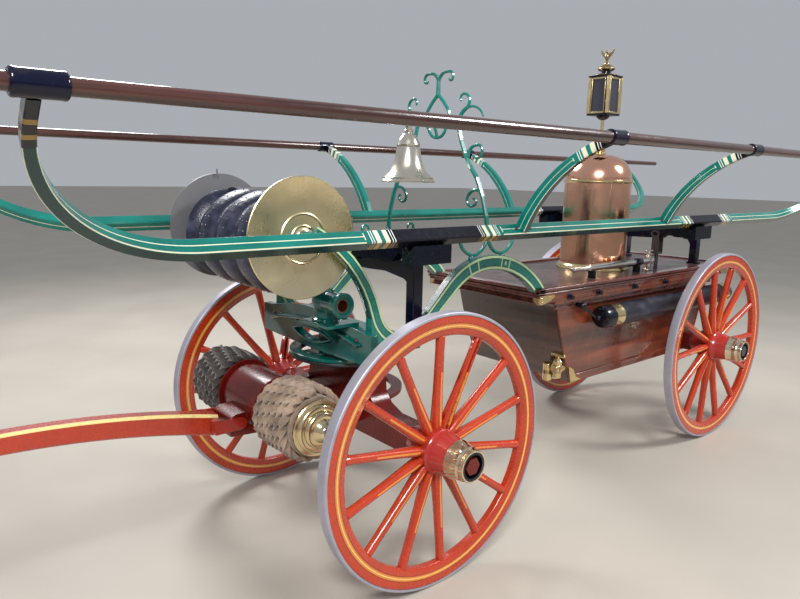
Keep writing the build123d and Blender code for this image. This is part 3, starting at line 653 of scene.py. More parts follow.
class Sweep:
    """Draws a section along straight runs and turns, as a smith bends a bar."""

    def __init__(
        self, piece: Piece, start: Vector, heading: Vector, side: Vector, along: float = 0.0,
    ) -> None:
        """Stand at a point, with a heading and a side of the section.

        Args:
            piece: the piece that it draws.
            start: where the section's middle starts.
            heading: which way it sets off.
            side: the section's first direction.
            along: the length already behind it.
        """
        self.piece = piece
        self.at = Vector(start)
        self.heading = Vector(heading).normalized()
        self.side = Vector(side).normalized()
        self.along = along
        self.face: Optional[bmesh.types.BMFace] = None

    @property
    def up(self) -> Vector:
        """The section's second direction."""
        return self.heading.cross(self.side).normalized()

    def bar(self, wide: float, deep: float, chamfer: float = 0.0) -> "Sweep":
        """Start a rectangular section, wide along the side, with its corners cut if asked.

        Args:
            wide: its size along the side.
            deep: its size across that.
            chamfer: how much of each corner is cut.

        Returns:
            This sweep.
        """
        mesh = self.piece.mesh
        corners = ((-1, -1), (1, -1), (1, 1), (-1, 1))
        spots = [(sx * wide / 2, sy * deep / 2) for sx, sy in corners]
        if chamfer:
            spots = []
            for sx, sy in corners:
                ends = [
                    (sx * wide / 2, sy * (deep / 2 - chamfer)), (sx * (wide / 2 - chamfer), sy * deep / 2),
                ]
                spots += ends if sx * sy > 0 else ends[::-1]
        self._open([mesh.verts.new(self.at + self.side * a + self.up * b) for a, b in spots])
        return self

    def round(self, radius: float, segments: int = 12, flat: float = 1.0) -> "Sweep":
        """Start a round section, or an oval one, flat times as deep as wide.

        Args:
            radius: the radius, in metres.
            segments: how many corners it has.
            flat: its depth as a share of its width.

        Returns:
            This sweep.
        """
        made = bmesh.ops.create_circle(self.piece.mesh, segments=segments, radius=radius)["verts"]
        for vert in made:
            vert.co = self.at + self.side * vert.co.x + self.up * vert.co.y * flat
        self._open(made)
        return self

    def lobed(self, radius: float, lobes: int, segments: int) -> "Sweep":
        """Start a section with round lobes, as laid strands have.

        Args:
            radius: the radius at a lobe's crest.
            lobes: how many lobes.
            segments: how many corners it has.

        Returns:
            This sweep.
        """
        mesh = self.piece.mesh
        verts = []
        for k in range(segments):
            angle = math.tau * k / segments
            reach = radius * (0.80 + 0.20 * math.cos(lobes * angle))
            spot = self.at + self.side * reach * math.cos(angle) + self.up * reach * math.sin(angle)
            verts.append(mesh.verts.new(spot))
        self._open(verts)
        return self

    def _open(self, verts: Sequence[bmesh.types.BMVert]) -> None:
        """Close the section's verts into its first face and write their layers.

        Args:
            verts: the section's corners in order.
        """
        for vert in verts:
            vert[self.piece.across] = (vert.co - self.at).dot(self.side)
            vert[self.piece.over] = (vert.co - self.at).dot(self.up)
            vert[self.piece.along] = self.along
        self.face = self.piece.mesh.faces.new(verts)

    def _step(self, move: Matrix, length: float, scale: Pair) -> None:
        """Draw the end face on by one step.

        Args:
            move: the step's movement.
            length: its length.
            scale: what the section is scaled to in it.
        """
        piece = self.piece
        made = bmesh.ops.extrude_face_region(piece.mesh, geom=[self.face])["geom"]
        verts = [v for v in made if isinstance(v, bmesh.types.BMVert)]
        self.face = next(f for f in made if isinstance(f, bmesh.types.BMFace))
        bmesh.ops.transform(piece.mesh, matrix=move, verts=verts)
        turn = move.to_3x3()
        self.at = move @ self.at
        self.heading = (turn @ self.heading).normalized()
        self.side = (turn @ self.side).normalized()
        self.along += length
        if scale != (1.0, 1.0):
            local = Matrix((self.side, self.up, self.heading)).transposed().to_4x4()
            local.translation = self.at
            bmesh.ops.scale(piece.mesh, vec=(scale[0], scale[1], 1), space=local.inverted(), verts=verts)
        for vert in verts:
            vert[piece.along] = self.along

    def run(self, length: float, steps: int = 1, scale: Pair = (1.0, 1.0)) -> "Sweep":
        """Go straight on, scaling the section to this much of itself over the whole run.

        Args:
            length: how far.
            steps: how many steps it takes.
            scale: what the section is scaled to over the whole of it.

        Returns:
            This sweep.
        """
        part = (scale[0] ** (1 / steps), scale[1] ** (1 / steps))
        for _ in range(steps):
            self._step(Matrix.Translation(self.heading * (length / steps)), length / steps, part)
        return self

    def to(self, place: Vector, steps: int = 1, scale: Pair = (1.0, 1.0)) -> "Sweep":
        """Turn towards a place and go there.

        Args:
            place: where it goes.
            steps: how many steps it takes.
            scale: what the section is scaled to over the whole of it.

        Returns:
            This sweep.
        """
        way = place - self.at
        part = (scale[0] ** (1 / steps), scale[1] ** (1 / steps))
        for k in range(steps):
            turn = self.heading.rotation_difference(way).to_matrix().to_4x4()
            goal = self.at + way / steps
            self._step(
                Matrix.Translation(goal) @ turn @ Matrix.Translation(-self.at), way.length / steps, part,
            )
        return self

    def arc(self, via: Vector, end: Vector, scale: Pair = (1.0, 1.0), pace: float = 5.0) -> "Sweep":
        """Go round the arc through two more places."""
        centre, axis, angle = circle_of(self.at, via, end)
        return self.turn((self.at - centre).length, math.degrees(angle), axis, scale, pace)

    def helix(
        self, centre: Vector, axis: Vector, turns: float, pitch: float, steps: int, twist: float = 0.0,
    ) -> "Sweep":
        """Wind round an axis.

        Args:
            centre: a place on the axis.
            axis: the axis's direction.
            turns: how many turns to make.
            pitch: how far one turn moves along the axis.
            steps: the steps in one turn.
            twist: how far the section twists in each step.

        Returns:
            This sweep.
        """
        angle = math.tau / steps
        around = Matrix.Translation(centre) @ Matrix.Rotation(angle, 4, axis) @ Matrix.Translation(-centre)
        radius = (self.at - centre - axis * (self.at - centre).dot(axis)).length
        for _ in range(round(turns * steps)):
            spin = Matrix.Translation(self.at) @ Matrix.Rotation(twist, 4, self.heading) @ Matrix.Translation(-self.at)
            move = Matrix.Translation(Vector(axis) * (pitch / steps)) @ around @ spin
            self._step(move, radius * angle, (1.0, 1.0))
        return self

    def turn(
        self, radius: float, degrees: float, axis: Vector, scale: Pair = (1.0, 1.0), pace: float = 7.0,
    ) -> "Sweep":
        """Go round an arc.

        Args:
            radius: the arc's radius at the section's middle.
            degrees: how far it turns, always positive.
            axis: the axis it turns about, by the right-hand rule.
            scale: what the section is scaled to over the whole arc.
            pace: the degrees in one step.

        Returns:
            This sweep.
        """
        axis = Vector(axis).normalized()
        centre = self.at + axis.cross(self.heading) * radius
        steps = max(2, round(degrees / pace))
        part = (scale[0] ** (1 / steps), scale[1] ** (1 / steps))
        angle = math.radians(degrees) / steps
        spin = Matrix.Translation(centre) @ Matrix.Rotation(angle, 4, axis) @ Matrix.Translation(-centre)
        for _ in range(steps):
            self._step(spin, radius * angle, part)
        return self


GREEN_PAINT: Colour = (0.001, 0.210, 0.168)
RED_PAINT: Colour = (0.50, 0.040, 0.009)

PLAIN_GREEN = Enamel("green_enamel", GREEN_PAINT, 0.55, 0.22, 0.6)
PLAIN_BLACK = Enamel("black_enamel", BLACK, 0.7, 0.16, 0.2, (), 0.3)
BLUE_BLACK = Enamel("blue_black_enamel", (0.002, 0.004, 0.012), 0.6, 0.2, 0.15, (), 0.25)
DARK_RED = Enamel("dark_red_paint", (0.17, 0.009, 0.005), 0.5, 0.18, 0.15, (), 0.3)
RED = Enamel("red_paint", (0.40, 0.022, 0.010), 0.6, 0.18, 0.3)
BRASS = Metal("brass", (0.76, 0.60, 0.32), (0.34, 0.25, 0.12), 0.45, 0.16)
DISC_BRASS = Metal("disc_brass", (0.66, 0.53, 0.30), (0.42, 0.33, 0.18), 0.5, 0.24)
COPPER = Metal("copper", (0.80, 0.42, 0.24), (0.36, 0.16, 0.09), 0.35, 0.17)
BAND_METAL = Metal("hub_band_metal", (0.78, 0.68, 0.48), (0.36, 0.27, 0.16), 0.5, 0.13)
NICKEL = Metal("nickel", (0.82, 0.80, 0.74), (0.45, 0.42, 0.36), 0.4, 0.14)
BELL_METAL = Metal("bell_metal", (0.78, 0.72, 0.61), (0.32, 0.26, 0.19), 0.5, 0.2)
IRON = Metal("dark_iron", (0.10, 0.10, 0.11), (0.05, 0.045, 0.04), 0.5, 0.4, 0.8, 0.4)
TYRE_STEEL = Metal("worn_tyre_steel", (0.44, 0.43, 0.50), (0.25, 0.23, 0.25), 0.5, 0.5, 0.55, 0.5)
MAHOGANY = Timber("mahogany", (0.215, 0.048, 0.018), (0.058, 0.012, 0.007), (1.0, 16.0, 16.0))
DECK_WOOD = Timber("deck_wood", (0.10, 0.055, 0.045), (0.035, 0.02, 0.02), (1.0, 14.0, 14.0), 0.35, 0.3)
BAR_WOOD = Timber("bar_wood", (0.075, 0.023, 0.016), (0.026, 0.008, 0.007), (1.0, 60.0, 60.0), 0.16, 0.7)
LEATHER = Hide("black_leather")
HOSE_LEATHER = Hide("suction_hose_hide", (0.010, 0.010, 0.018), (0.050, 0.050, 0.075))
ROPE = Laid("laid_rope", (0.42, 0.30, 0.215), (0.095, 0.060, 0.040))
# the far spool's rope: the same laid rope painted much darker, painted shade
FAR_ROPE_SHADED = Laid("far_rope_painted_shade", (0.075, 0.058, 0.050), (0.022, 0.018, 0.016))
REEL_LEATHER = Hide("reel_leather", (0.010, 0.012, 0.030), (0.075, 0.078, 0.135))
NAVY = Enamel("navy_enamel", (0.001, 0.002, 0.016), 0.7, 0.08, 0.25, (), 0.3)
END_WOOD = Timber("tub_end_wood", (0.085, 0.038, 0.024), (0.030, 0.012, 0.010), (14.0, 1.0, 14.0), 0.12, 0.9)
MOULDING = Timber("tub_moulding", (0.17, 0.040, 0.026), (0.055, 0.012, 0.012), (1.0, 18.0, 18.0), 0.16, 0.8)
CAST_GREEN = Enamel("cast_green", (0.003, 0.175, 0.150), 0.35, 0.12, 0.7)
MOUTH_COPPER = Metal("mouth_copper", (0.50, 0.24, 0.15), (0.16, 0.07, 0.05), 0.6, 0.28)
OLD_BRASS = Metal("old_brass", (0.44, 0.33, 0.18), (0.12, 0.09, 0.05), 0.6, 0.3)
LANTERN_GLASS = Glass("lantern_glass")
SPOOL_BRASS = Metal("spool_brass", (0.74, 0.62, 0.38), (0.40, 0.30, 0.16), 0.4, 0.12)
SPUN_BRASS = Metal("spun_brass", (0.78, 0.66, 0.41), (0.53, 0.42, 0.25), 0.45, 0.24)
IRON_DISC = Metal("iron_disc", (0.17, 0.17, 0.18), (0.10, 0.10, 0.11), 0.4, 0.45, 0.3, 0.3)
SEAM_COPPER = Metal("seam_copper", (0.09, 0.075, 0.09), (0.04, 0.03, 0.035), 0.5, 0.4)
COPPER_SHELL = Metal("copper_shell", (0.91, 0.49, 0.33), (0.42, 0.19, 0.13), 0.35, 0.13)


def wheel_paint(name: str, radius: float) -> Enamel:
    """Return the wheel's paint, its gold rings set by the rim's radius.

    Args:
        name: the paint's name.
        radius: the wheel's radius.

    Returns:
        The paint.
    """
    ring = radius - 0.051
    return Enamel(
        name, RED_PAINT, 0.78, 0.20, 0.45,
        (
            Stripe(
                Measure.ACROSS, ring, 0.023, (0.20, 0.012, 0.006),
            ), Stripe(Measure.ACROSS, ring, 0.017, (0.66, 0.20, 0.025)),
            Stripe(Measure.ACROSS, ring, 0.004, (0.88, 0.55, 0.16)),
        ),
    )


@dataclass
class Wheel:
    """One spoked wheel: tyre, felloe, spokes, hub and hub band."""

    end: str
    side_name: str
    spoke_count: int = 14
    dish: float = 0.026
    hub_radius: float = 0.088
    nose_radius: float = 0.058
    axle_radius: float = 0.026
    spoke_paint: Enamel = field(default_factory=lambda: Enamel(
        "spoke_paint", RED_PAINT, 0.8, 0.18, 0.45,
        (Stripe(
            Measure.ACROSS, 0.0, 0.008, (0.72, 0.24, 0.03),
            ((Measure.OVER, 0.0, 1.0), (Measure.ALONG, 0.03, 0.24)),
        ),),
    ))

    def __post_init__(self) -> None:
        """Read the wheel's size and place from its tyre and band."""
        self.side = 1.0 if self.side_name == "near" else -1.0
        low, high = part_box(f"{self.end}_tyre_{self.side_name}")
        band_low, band_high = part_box(f"{self.end}_hub_band_{self.side_name}")
        self.radius = (high - low).z / 2
        self.width = (high - low).y
        self.centre = Vector(((low.x + high.x) / 2, 0, (low.z + high.z) / 2))
        self.face = max(abs(low.y), abs(high.y))
        self.tip = max(abs(band_low.y), abs(band_high.y))
        self.foot = self.face - self.width / 2 - self.dish
        self.phase = 0.91 if (self.end, self.side_name) == ("front", "near") else 0.5
        self.out = Vector((0, self.side, 0))
        self.body = f"{self.end}_wheel_{self.side_name}"

    def build(self) -> None:
        """Make the wheel's three pieces."""
        self.tyre()
        self.wood()
        self.band()

    def tyre(self) -> None:
        """Make the iron tyre with its worn, rounded outer edges."""
        inner = self.face - self.width
        radius = self.radius
        edge = [(0, -0.0115), (0, -0.004), (0.003, -0.0008), (0.010, 0)]
        profile = shifted(edge, inner, radius) + shifted(
            [(-a, b) for a, b in reversed(edge)], self.face, radius,
        )
        piece = Piece(f"{self.body}_tyre_ring", TYRE_STEEL)
        piece.lathe(profile, self.centre, self.out, 144, True)
        piece.done(self.body, [f"{self.end}_tyre_{self.side_name}"], bevel=0)

    def wood(self) -> None:
        """Make hub, spokes and felloe as one painted piece."""
        paint = wheel_paint(f"{self.end}_wheel_paint", self.radius)
        piece = Piece(f"{self.body}_wood", paint)
        outer = self.radius - 0.012
        inner = self.radius - 0.087
        back = self.face - 0.045
        front = self.face - 0.0025
        felloe = [
            (back, outer), (back, inner + 0.012), (back + 0.009, inner), (front - 0.009, inner),
            (front, inner + 0.012), (front, outer),
        ]
        piece.lathe(felloe, self.centre, self.out, 144, True)
        piece.use(self.spoke_paint)
        for k in range(self.spoke_count):
            self.spoke(piece, math.radians(90 + (k + self.phase) * 360 / self.spoke_count), inner)
        piece.use(Enamel("hub_paint", (0.42, 0.026, 0.020), 0.8, 0.16, 0.5))
        barrel = [(-0.060, -0.010), (-0.034, -0.002), (0.034, 0), (0.040, -0.006), (0.066, -0.010)]
        hub = [(self.foot - 0.100, self.axle_radius), (self.foot - 0.100, self.nose_radius + 0.004)]
        hub += shifted(barrel, self.foot, self.hub_radius)
        hub += [(self.foot + 0.086, self.nose_radius + 0.016), (self.tip - 0.080, self.nose_radius + 0.010)]
        hub.append((self.tip - 0.080, self.axle_radius))
        piece.lathe(hub, self.centre, self.out, 64, True)
        piece.done(self.body, [self.body], bevel=0.002)

    def spoke(self, piece: Piece, turn: float, rim: float) -> None:
        """Draw one oval spoke from the hub out to the felloe.

        Args:
            piece: the piece that it is added to.
            turn: its angle round the wheel, in radians.
            rim: the felloe's inner radius.
        """
        radial = Vector((math.cos(turn), 0, math.sin(turn)))
        start = self.centre + self.out * self.foot + radial * (self.hub_radius - 0.014)
        end = self.centre + self.out * (self.face - self.width / 2) + radial * (rim + 0.004)
        heading = (end - start).normalized()
        tangent = self.out.cross(radial) * self.side
        length = (end - start).length
        sweep = Sweep(piece, start, heading, tangent)
        flip = 1.0 if sweep.up.dot(self.out) > 0 else -1.0
        sweep.side = sweep.side * flip
        sweep.round(0.0195, 12, 1.35)
        sweep.run(length * 0.12, 2, (1.04, 0.98))
        sweep.run(length * 0.30, 3, (0.86, 0.80))
        sweep.run(length * 0.44, 3, (0.94, 0.88))
        sweep.run(length * 0.10, 2, (1.08, 1.05))
        sweep.run(length * 0.04, 1, (0.92, 0.95))

    def band(self) -> None:
        """Make the polished hub band with its thin lip, and the dark cup inside it."""
        start = self.tip - 0.086
        radius = self.nose_radius
        body = [
            (0, 0.006), (0, 0.014), (0.005, 0.0165), (0.012, 0.0145), (0.030, 0.010), (0.052, 0.006), (0.056, 0.0075),
            (0.061, 0.005),
        ]
        lip = [
            (-0.012, 0.0015), (-0.005, 0.003), (0, 0.001), (0, -0.004), (-0.003, -0.005), (-0.003, -0.0005),
        ]
        profile = shifted(body, start, radius) + shifted(lip, self.tip, radius) + [(start + 0.004, radius + 0.004)]
        piece = Piece(f"{self.body}_band_ring", BAND_METAL)
        piece.lathe(profile, self.centre, self.out, 64, True)
        piece.use(PLAIN_BLACK)
        cup = [(-0.003, -0.001), (-0.001, -0.004), (-0.001, -0.014), (-0.030, -0.017), (-0.030, -0.001)]
        piece.lathe(shifted(cup, self.tip, radius), self.centre, self.out, 64, True)
        piece.done(self.body, [f"{self.end}_hub_band_{self.side_name}"], bevel=0)


def circle_of(start: Vector, via: Vector, end: Vector) -> tuple[Vector, Vector, float]:
    """Return the centre, axis and angle of the arc through three points.

    Args:
        start: where it starts.
        via: a place on the way.
        end: where it ends.

    Returns:
        The centre, the axis and the angle in radians.
    """
    one, two = via - start, end - start
    normal = one.cross(two)
    offset = normal.cross(one) * two.length_squared + two.cross(normal) * one.length_squared
    centre = start + offset / (2 * normal.length_squared)
    axis = normal.normalized()
    first, last = start - centre, end - centre
    angle = math.atan2(axis.dot(first.cross(last)), first.dot(last)) % math.tau
    return centre, axis, angle


def first_heading(start: Vector, via: Vector, end: Vector) -> Vector:
    """Return the direction in which the arc through three points sets off."""
    centre, axis, _ = circle_of(start, via, end)
    return axis.cross(start - centre).normalized()


@dataclass(frozen=True)
class BeamPaint(Enamel):
    """Green paint with a thin line down each face, painted shade on the outer-under face, and black lengths with cream
    bands at their ends.
    """

    # half width across the bar; the face beyond it on the low side gets the painted shade
    half: float = 0.031
    blacks: tuple[Pair, ...] = ()
    length: float = 0.0
    bands: tuple[tuple[float, float, Colour], ...] = (
        (-0.021, 0.0035, WHITE), (-0.010, 0.0035, WHITE), (0.012, 0.020, CREAM), (0.050, 0.020, CREAM),
        (0.070, 0.0035, WHITE), (0.080, 0.0035, WHITE),
    )
    line_end: float = 0.104
    rings: tuple[Pair, ...] = ((0.055, 0.013), (0.095, 0.013))

    def dress(self, graph: Graph) -> None:
        """Measure the distance to the nearest black length and paint by it.

        Args:
            graph: the material's nodes.
        """
        along, across = graph.layer("along"), graph.layer("across")
        gap = 10.0
        for centre, reach in self.blacks:
            away = graph.math(
                "SUBTRACT", graph.math("ABSOLUTE", graph.math("SUBTRACT", along, centre)), reach,
            )
            gap = graph.math("MINIMUM", away, gap)
        slow = graph.ramp(graph.noise(5.0, 4.0), 0.35, 0.7)
        colour = graph.mix(slow, self.colour, tuple(c * self.shade for c in self.colour))
        # painted shade: the face at the low end of across, the bar's outer-under face, is painted dark green for its
        # shade
        under = graph.math("LESS_THAN", across, 0.0006 - self.half)
        colour = graph.mix(under, colour, (0.004, 0.045, 0.042))
        clear = graph.math("GREATER_THAN", gap, self.line_end)
        for place in (0.0, 0.0022 - self.half):
            line = self.band(graph, across, place, 0.002)
            colour = graph.mix(graph.math("MULTIPLY", line, clear), colour, CREAM)
        cross = graph.math(
            "MULTIPLY", self.band(graph, gap, self.line_end, 0.004), self.band(graph, across, 0, 0.018),
        )
        colour = graph.mix(cross, colour, CREAM)
        colour = graph.mix(graph.math("LESS_THAN", gap, 0.0), colour, BLACK)
        for place, width, paint in self.bands:
            # on that painted-shade face the white and cream bands are painted dim gold, the same bands in painted shade
            shown = graph.mix(under, paint, tuple(0.5 * g for g in GOLD))
            colour = graph.mix(self.band(graph, gap, place, width), colour, shown)
        if self.length:
            end = graph.math("MINIMUM", along, graph.math("SUBTRACT", self.length, along))
            colour = graph.mix(graph.math("LESS_THAN", end, 0.125), colour, BLACK)
            for place, width in self.rings:
                colour = graph.mix(self.band(graph, end, place, width), colour, tuple(0.4 * g for g in GOLD))
        rough = graph.ramp(graph.noise(60.0, 3.0), 0.3, 0.7, self.roughness, self.roughness + 0.12)
        gloss = graph.math("MULTIPLY", graph.math("GREATER_THAN", gap, 0.0), self.coat)
        graph.set(
            Base_Color=colour, Roughness=rough, Coat_Weight=gloss, Coat_Roughness=0.08,
            Specular_IOR_Level=0.3,
        )
        graph.bump(graph.noise(140.0, 2.0), 0.0003, 0.12)

    @staticmethod
    def band(graph: Graph, value: object, centre: float, width: float) -> Socket:
        """Return 1 where a value lies within half a width of a centre."""
        offset = graph.math("ABSOLUTE", graph.math("SUBTRACT", value, centre))
        return graph.math("LESS_THAN", offset, width / 2)


@dataclass
class Brakes:
    """Two side levers, each a beam with swept ends and two braces, and the bars they hold."""

    beam_y: float = 0.509
    beam_z: float = 1.328
    bar_z: float = 1.693
    thick: float = 0.044
    wide: float = 0.055
    tip_thick: float = 0.026
    tip_wide: float = 0.035
    nose: float = 0.480
    nose_in: float = 0.591
    nose_sleeve: float = 0.0275
    brace_sleeve: float = 0.031
    bar_radius: float = 0.0215
    bar_end_radius: float = 0.0165
    rocker_setback: float = 0.092
    black_front: float = 0.236
    black_rear: float = 0.193

    def __post_init__(self) -> None:
        """Read the bars and the rockers' places from the frame."""
        low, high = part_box("brake_bar_near")
        self.bar_low, self.bar_high = low.x, high.x
        self.bar_y = (low.y + high.y) / 2
        self.rear, self.front = low.x + self.nose_in, high.x - self.nose_in
        self.rockers = [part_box(name)[0].x + self.rocker_setback for name in ("rocker_front", "rocker_rear")]
        self.braces = (axle_x("front") - 0.506, axle_x("rear") + 0.730)
        self.rise = Vector((0, self.bar_y - self.beam_y, self.bar_z - self.beam_z))
        self.reach = self.rise.length - self.nose_sleeve + 0.004

    def build(self) -> None:
        """Make both sides."""
        for name, side in (("near", 1.0), ("far", -1.0)):
            self.lever(name, side)
            self.bar(name, side)

    def along(self, x: float) -> float:
        """Return how far along the lever, from its front end, a place on the straight run lies."""
        return self.reach - self.nose + self.nose * math.pi / 2 + self.front - self.nose - x

    def lever(self, name: str, side: float) -> None:
        """Draw the beam with its swept ends, then its braces and sleeves.

        Args:
            name: the side's name, near or far.
            side: 1 for the near side, -1 for the far one.
        """
        length = 2 * (self.reach - self.nose) + self.nose * math.pi + self.front - self.rear - 2 * self.nose
        blacks = tuple(
            (self.along(x), half)
            for x, half in zip(self.rockers, (self.black_front, self.black_rear))
        )
        # tip_wide / 2 puts the painted shade on the lever's outer-under face
        paint = BeamPaint(
            "beam_paint", GREEN_PAINT, 0.6, 0.16, 0.6, (), 0.5, self.tip_wide / 2, blacks, length,
        )
        piece = Piece(f"brake_lever_{name}_iron", paint)
        out = Vector((0, side * self.rise.y, self.rise.z)).normalized()
        skin = Vector((0, -side * out.z, abs(out.y)))
        foot = Vector((self.front, side * self.beam_y, self.beam_z))
        grow = (self.wide / self.tip_wide, self.thick / self.tip_thick)
        shrink = (1 / grow[0], 1 / grow[1])
        sweep = Sweep(piece, foot + out * self.reach, -out, skin)
        sweep.bar(self.tip_wide, self.tip_thick, 0.003)
        sweep.run(self.reach - self.nose, 2)
        sweep.turn(self.nose, 90, (-out).cross(-X_AXIS), grow, 3.0)
        sweep.run(self.front - self.rear - 2 * self.nose, 4)
        sweep.turn(self.nose, 90, (-X_AXIS).cross(out), shrink, 3.0)
        sweep.run(self.reach - self.nose, 2)
        for x in self.braces:
            self.brace(piece, x, side)
        piece.use(NAVY)
        for x in (self.front, self.rear):
            inward = 0.008 if x < 0 else -0.008
            self.sleeve_at(piece, x + inward, side, 0.098, self.nose_sleeve)
        for x in self.braces:
            self.sleeve_at(piece, x, side, 0.092, self.brace_sleeve - 0.003)
        piece.use(IRON)
        for x in self.braces:
            for step in (-0.042, 0.042):
                spot = Vector((x + step, side * self.beam_y, self.beam_z)) + out * (self.thick / 2)
                piece.bolt(spot, out, 0.009, 0.006)
        piece.done("brakes", [f"brake_lever_{name}"], bevel=0)

    def brace(self, piece: Piece, x: float, side: float) -> None:
        """Draw one bowed brace from the beam up to its sleeve, wider at the foot.

        Args:
            piece: the piece that it is added to.
            x: where it stands along the engine.
            side: 1 for the near side, -1 for the far one.
        """
        start = Vector((x, side * (self.beam_y + 0.012), self.beam_z + 0.012))
        via = Vector((x, side * 0.688, 1.562))
        end = Vector((x, side * (self.bar_y - self.brace_sleeve * 0.75), self.bar_z - 0.008))
        centre, _, angle = circle_of(start, via, end)
        length = (start - centre).length * angle
        # 0.027, half the brace's width, puts the painted shade on the brace's outer-under face
        piece.use(BeamPaint("brace_paint", GREEN_PAINT, 0.6, 0.16, 0.6, (), 0.5, 0.027, ((length, 0.055),)))
        heading = first_heading(start, via, end)
        sweep = Sweep(piece, start, heading, X_AXIS.cross(heading) * side)
        sweep.bar(0.054, 0.030, 0.003)
        sweep.arc(via, end, (0.68, 0.88))

    def bar_at(self, x: float) -> float:
        """Return the bar's radius: full between the braces, less towards its ends.

        Args:
            x: a place along the engine.

        Returns:
            The radius, in metres.
        """
        front, rear = self.braces
        share = max((x - front) / (self.bar_high - front), (rear - x) / (rear - self.bar_low), 0.0)
        return self.bar_radius + (self.bar_end_radius - self.bar_radius) * share

    def sleeve_at(self, piece: Piece, x: float, side: float, length: float, out: float) -> None:
        """Turn one sleeve round the bar, with a bead at each end.

        Args:
            piece: the piece that it is added to.
            x: where its middle lies along the engine.
            side: 1 for the near side, -1 for the far one.
            length: its length.
            out: its outer radius.
        """
        inside, half = self.bar_at(x) + 0.0004, length / 2
        edge = [
            (-half, out - 0.004), (-half + 0.003, out - 0.0008), (-half + 0.007, out),
            (-half + 0.011, out - 0.001),
        ]
        edge.append((-half + 0.016, out - 0.0010))
        profile = [(-half, inside)] + edge + [(-a, r) for a, r in reversed(edge)] + [(half, inside)]
        piece.lathe(profile, Vector((x, side * self.bar_y, self.bar_z)), X_AXIS, 40, True)

    def bar(self, name: str, side: float) -> None:
        """Turn the long bar, with rounded ends.

        Args:
            name: the side's name, near or far.
            side: 1 for the near side, -1 for the far one.
        """
        r = self.bar_end_radius
        tip = [(0, 0), (0.0008, r * 0.55), (0.004, r * 0.86), (0.010, r * 0.985), (0.018, r)]
        length = self.bar_high - self.bar_low
        stations = [(length * k / 24, self.bar_at(self.bar_low + length * k / 24)) for k in range(1, 24)]
        profile = tip + stations + [(length - a, q) for a, q in reversed(tip)]
        piece = Piece(f"brake_bar_{name}_wood", BAR_WOOD)
        piece.lathe(profile, Vector((self.bar_low, side * self.bar_y, self.bar_z)), X_AXIS, 32)
        piece.done("brakes", [f"brake_bar_{name}"], bevel=0)


@dataclass
class CraneNecks:
    """Two frames that arch over the front wheels' sweep and go on up to the hose reel."""

    width: float = 0.040
    arch_depth: float = 0.064
    arm_depth: float = 0.048
    arch_top: float = 1.182
    arch_setback: float = 0.506
    rear_radius: float = 0.473
    rear_angle: float = 50.0
    front_radius: float = 0.330
    front_angle: float = 42.6
    leg: float = 0.215
    foot_radius: float = 0.146
    foot_turn: float = 117.6
    arm_radius: float = 0.520
    arm_turn: float = 48.5
    ties: Pair = (0.314, 0.514)

    def build(self) -> None:
        """Make both necks."""
        self.axle = axle_x("front")
        for name, side in (("near", 1.0), ("far", -1.0)):
            self.neck(name, side)

    def paint(self) -> Enamel:
        """Return the green paint with pale lines by both edges, two pale ties over the arch, and painted shade on the
        bar's narrow faces.

        Returns:
            The paint.
        """
        edge = self.arch_depth / 2 - 0.0085
        stripes = [Stripe(Measure.OVER, s * edge, 0.010, LIME) for s in (1, -1)]
        stripes += [Stripe(Measure.OVER, s * (edge - 0.0085), 0.004, (0.008, 0.075, 0.065)) for s in (1, -1)]
        for place in self.ties:
            for step in (-0.026, 0.026):
                stripes.append(Stripe(Measure.ALONG, place + step, 0.007, LIME))
        stripes.append(Stripe(Measure.ALONG, self.ties[0], 0.010, LIME, ((Measure.OVER, -0.008, 0.008),)))
        # painted shade: the narrow faces across the middle of the bar are painted dark green for their shade
        painted_shade_edges = Stripe(Measure.ACROSS, 0.0, 0.0368, (0.008, 0.075, 0.065))
        return Enamel("neck_paint", GREEN_PAINT, 0.6, 0.2, 0.6, tuple(stripes) + (painted_shade_edges,))

    def neck(self, name: str, side: float) -> None:
        """Draw one neck from the tub forward, then its toe and its eye round the reel's shaft.

        Args:
            name: the side's name, near or far.
            side: 1 for the near side, -1 for the far one.
        """
        y = side * (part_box("crane_neck_near")[0].y + self.width / 2)
        rear = math.radians(self.rear_angle)
        start = Vector((
            self.axle - self.arch_setback - self.rear_radius * math.sin(rear), y,
            self.arch_top - self.rear_radius * (1 - math.cos(rear)),
        ))
        piece = Piece(f"crane_neck_{name}_iron", self.paint())
        sweep = Sweep(piece, start, Vector((math.cos(rear), 0, math.sin(rear))), Y_AXIS)
        sweep.bar(self.width, self.arch_depth, 0.003)
        sweep.turn(self.rear_radius, self.rear_angle, Y_AXIS, pace=4.0)
        sweep.turn(self.front_radius, self.front_angle, Y_AXIS, pace=4.0)
        sweep.run(self.leg, 4, (1.0, self.arm_depth / self.arch_depth))
        sweep.turn(self.foot_radius, self.foot_turn, -Y_AXIS)
        sweep.turn(self.arm_radius, self.arm_turn, Y_AXIS, (1.0, 0.80))
        piece.use(PLAIN_GREEN)
        toe = (
            (-0.120, 0.886), (0.140, 0.886), (0.140, 0.926), (0.138, 1.012), (0.060, 0.945), (-0.025, 0.925),
            (-0.085, 0.925),
        )
        outline = [Vector((self.axle + a, y - self.width / 2 + 0.001, z)) for a, z in toe]
        piece.prism(outline, Vector((0, self.width - 0.002, 0)))
        reel_x, _, reel_z = middle_of("reel_core")
        half = self.width / 2 + 0.004
        boss = [
            (-half, 0.0145), (-half, 0.024), (-half + 0.004, 0.028), (half - 0.004, 0.028), (half, 0.024),
            (half, 0.0145),
        ]
        piece.lathe(boss, Vector((reel_x, y, reel_z)), Y_AXIS, 40, True)
        piece.use(IRON)
        for step in (0.085, 0.120):
            piece.bolt((self.axle + step, y + side * self.width / 2, 0.905), (0, side, 0), 0.009, 0.006)
        piece.done("carriage", [f"crane_neck_{name}"], bevel=0)


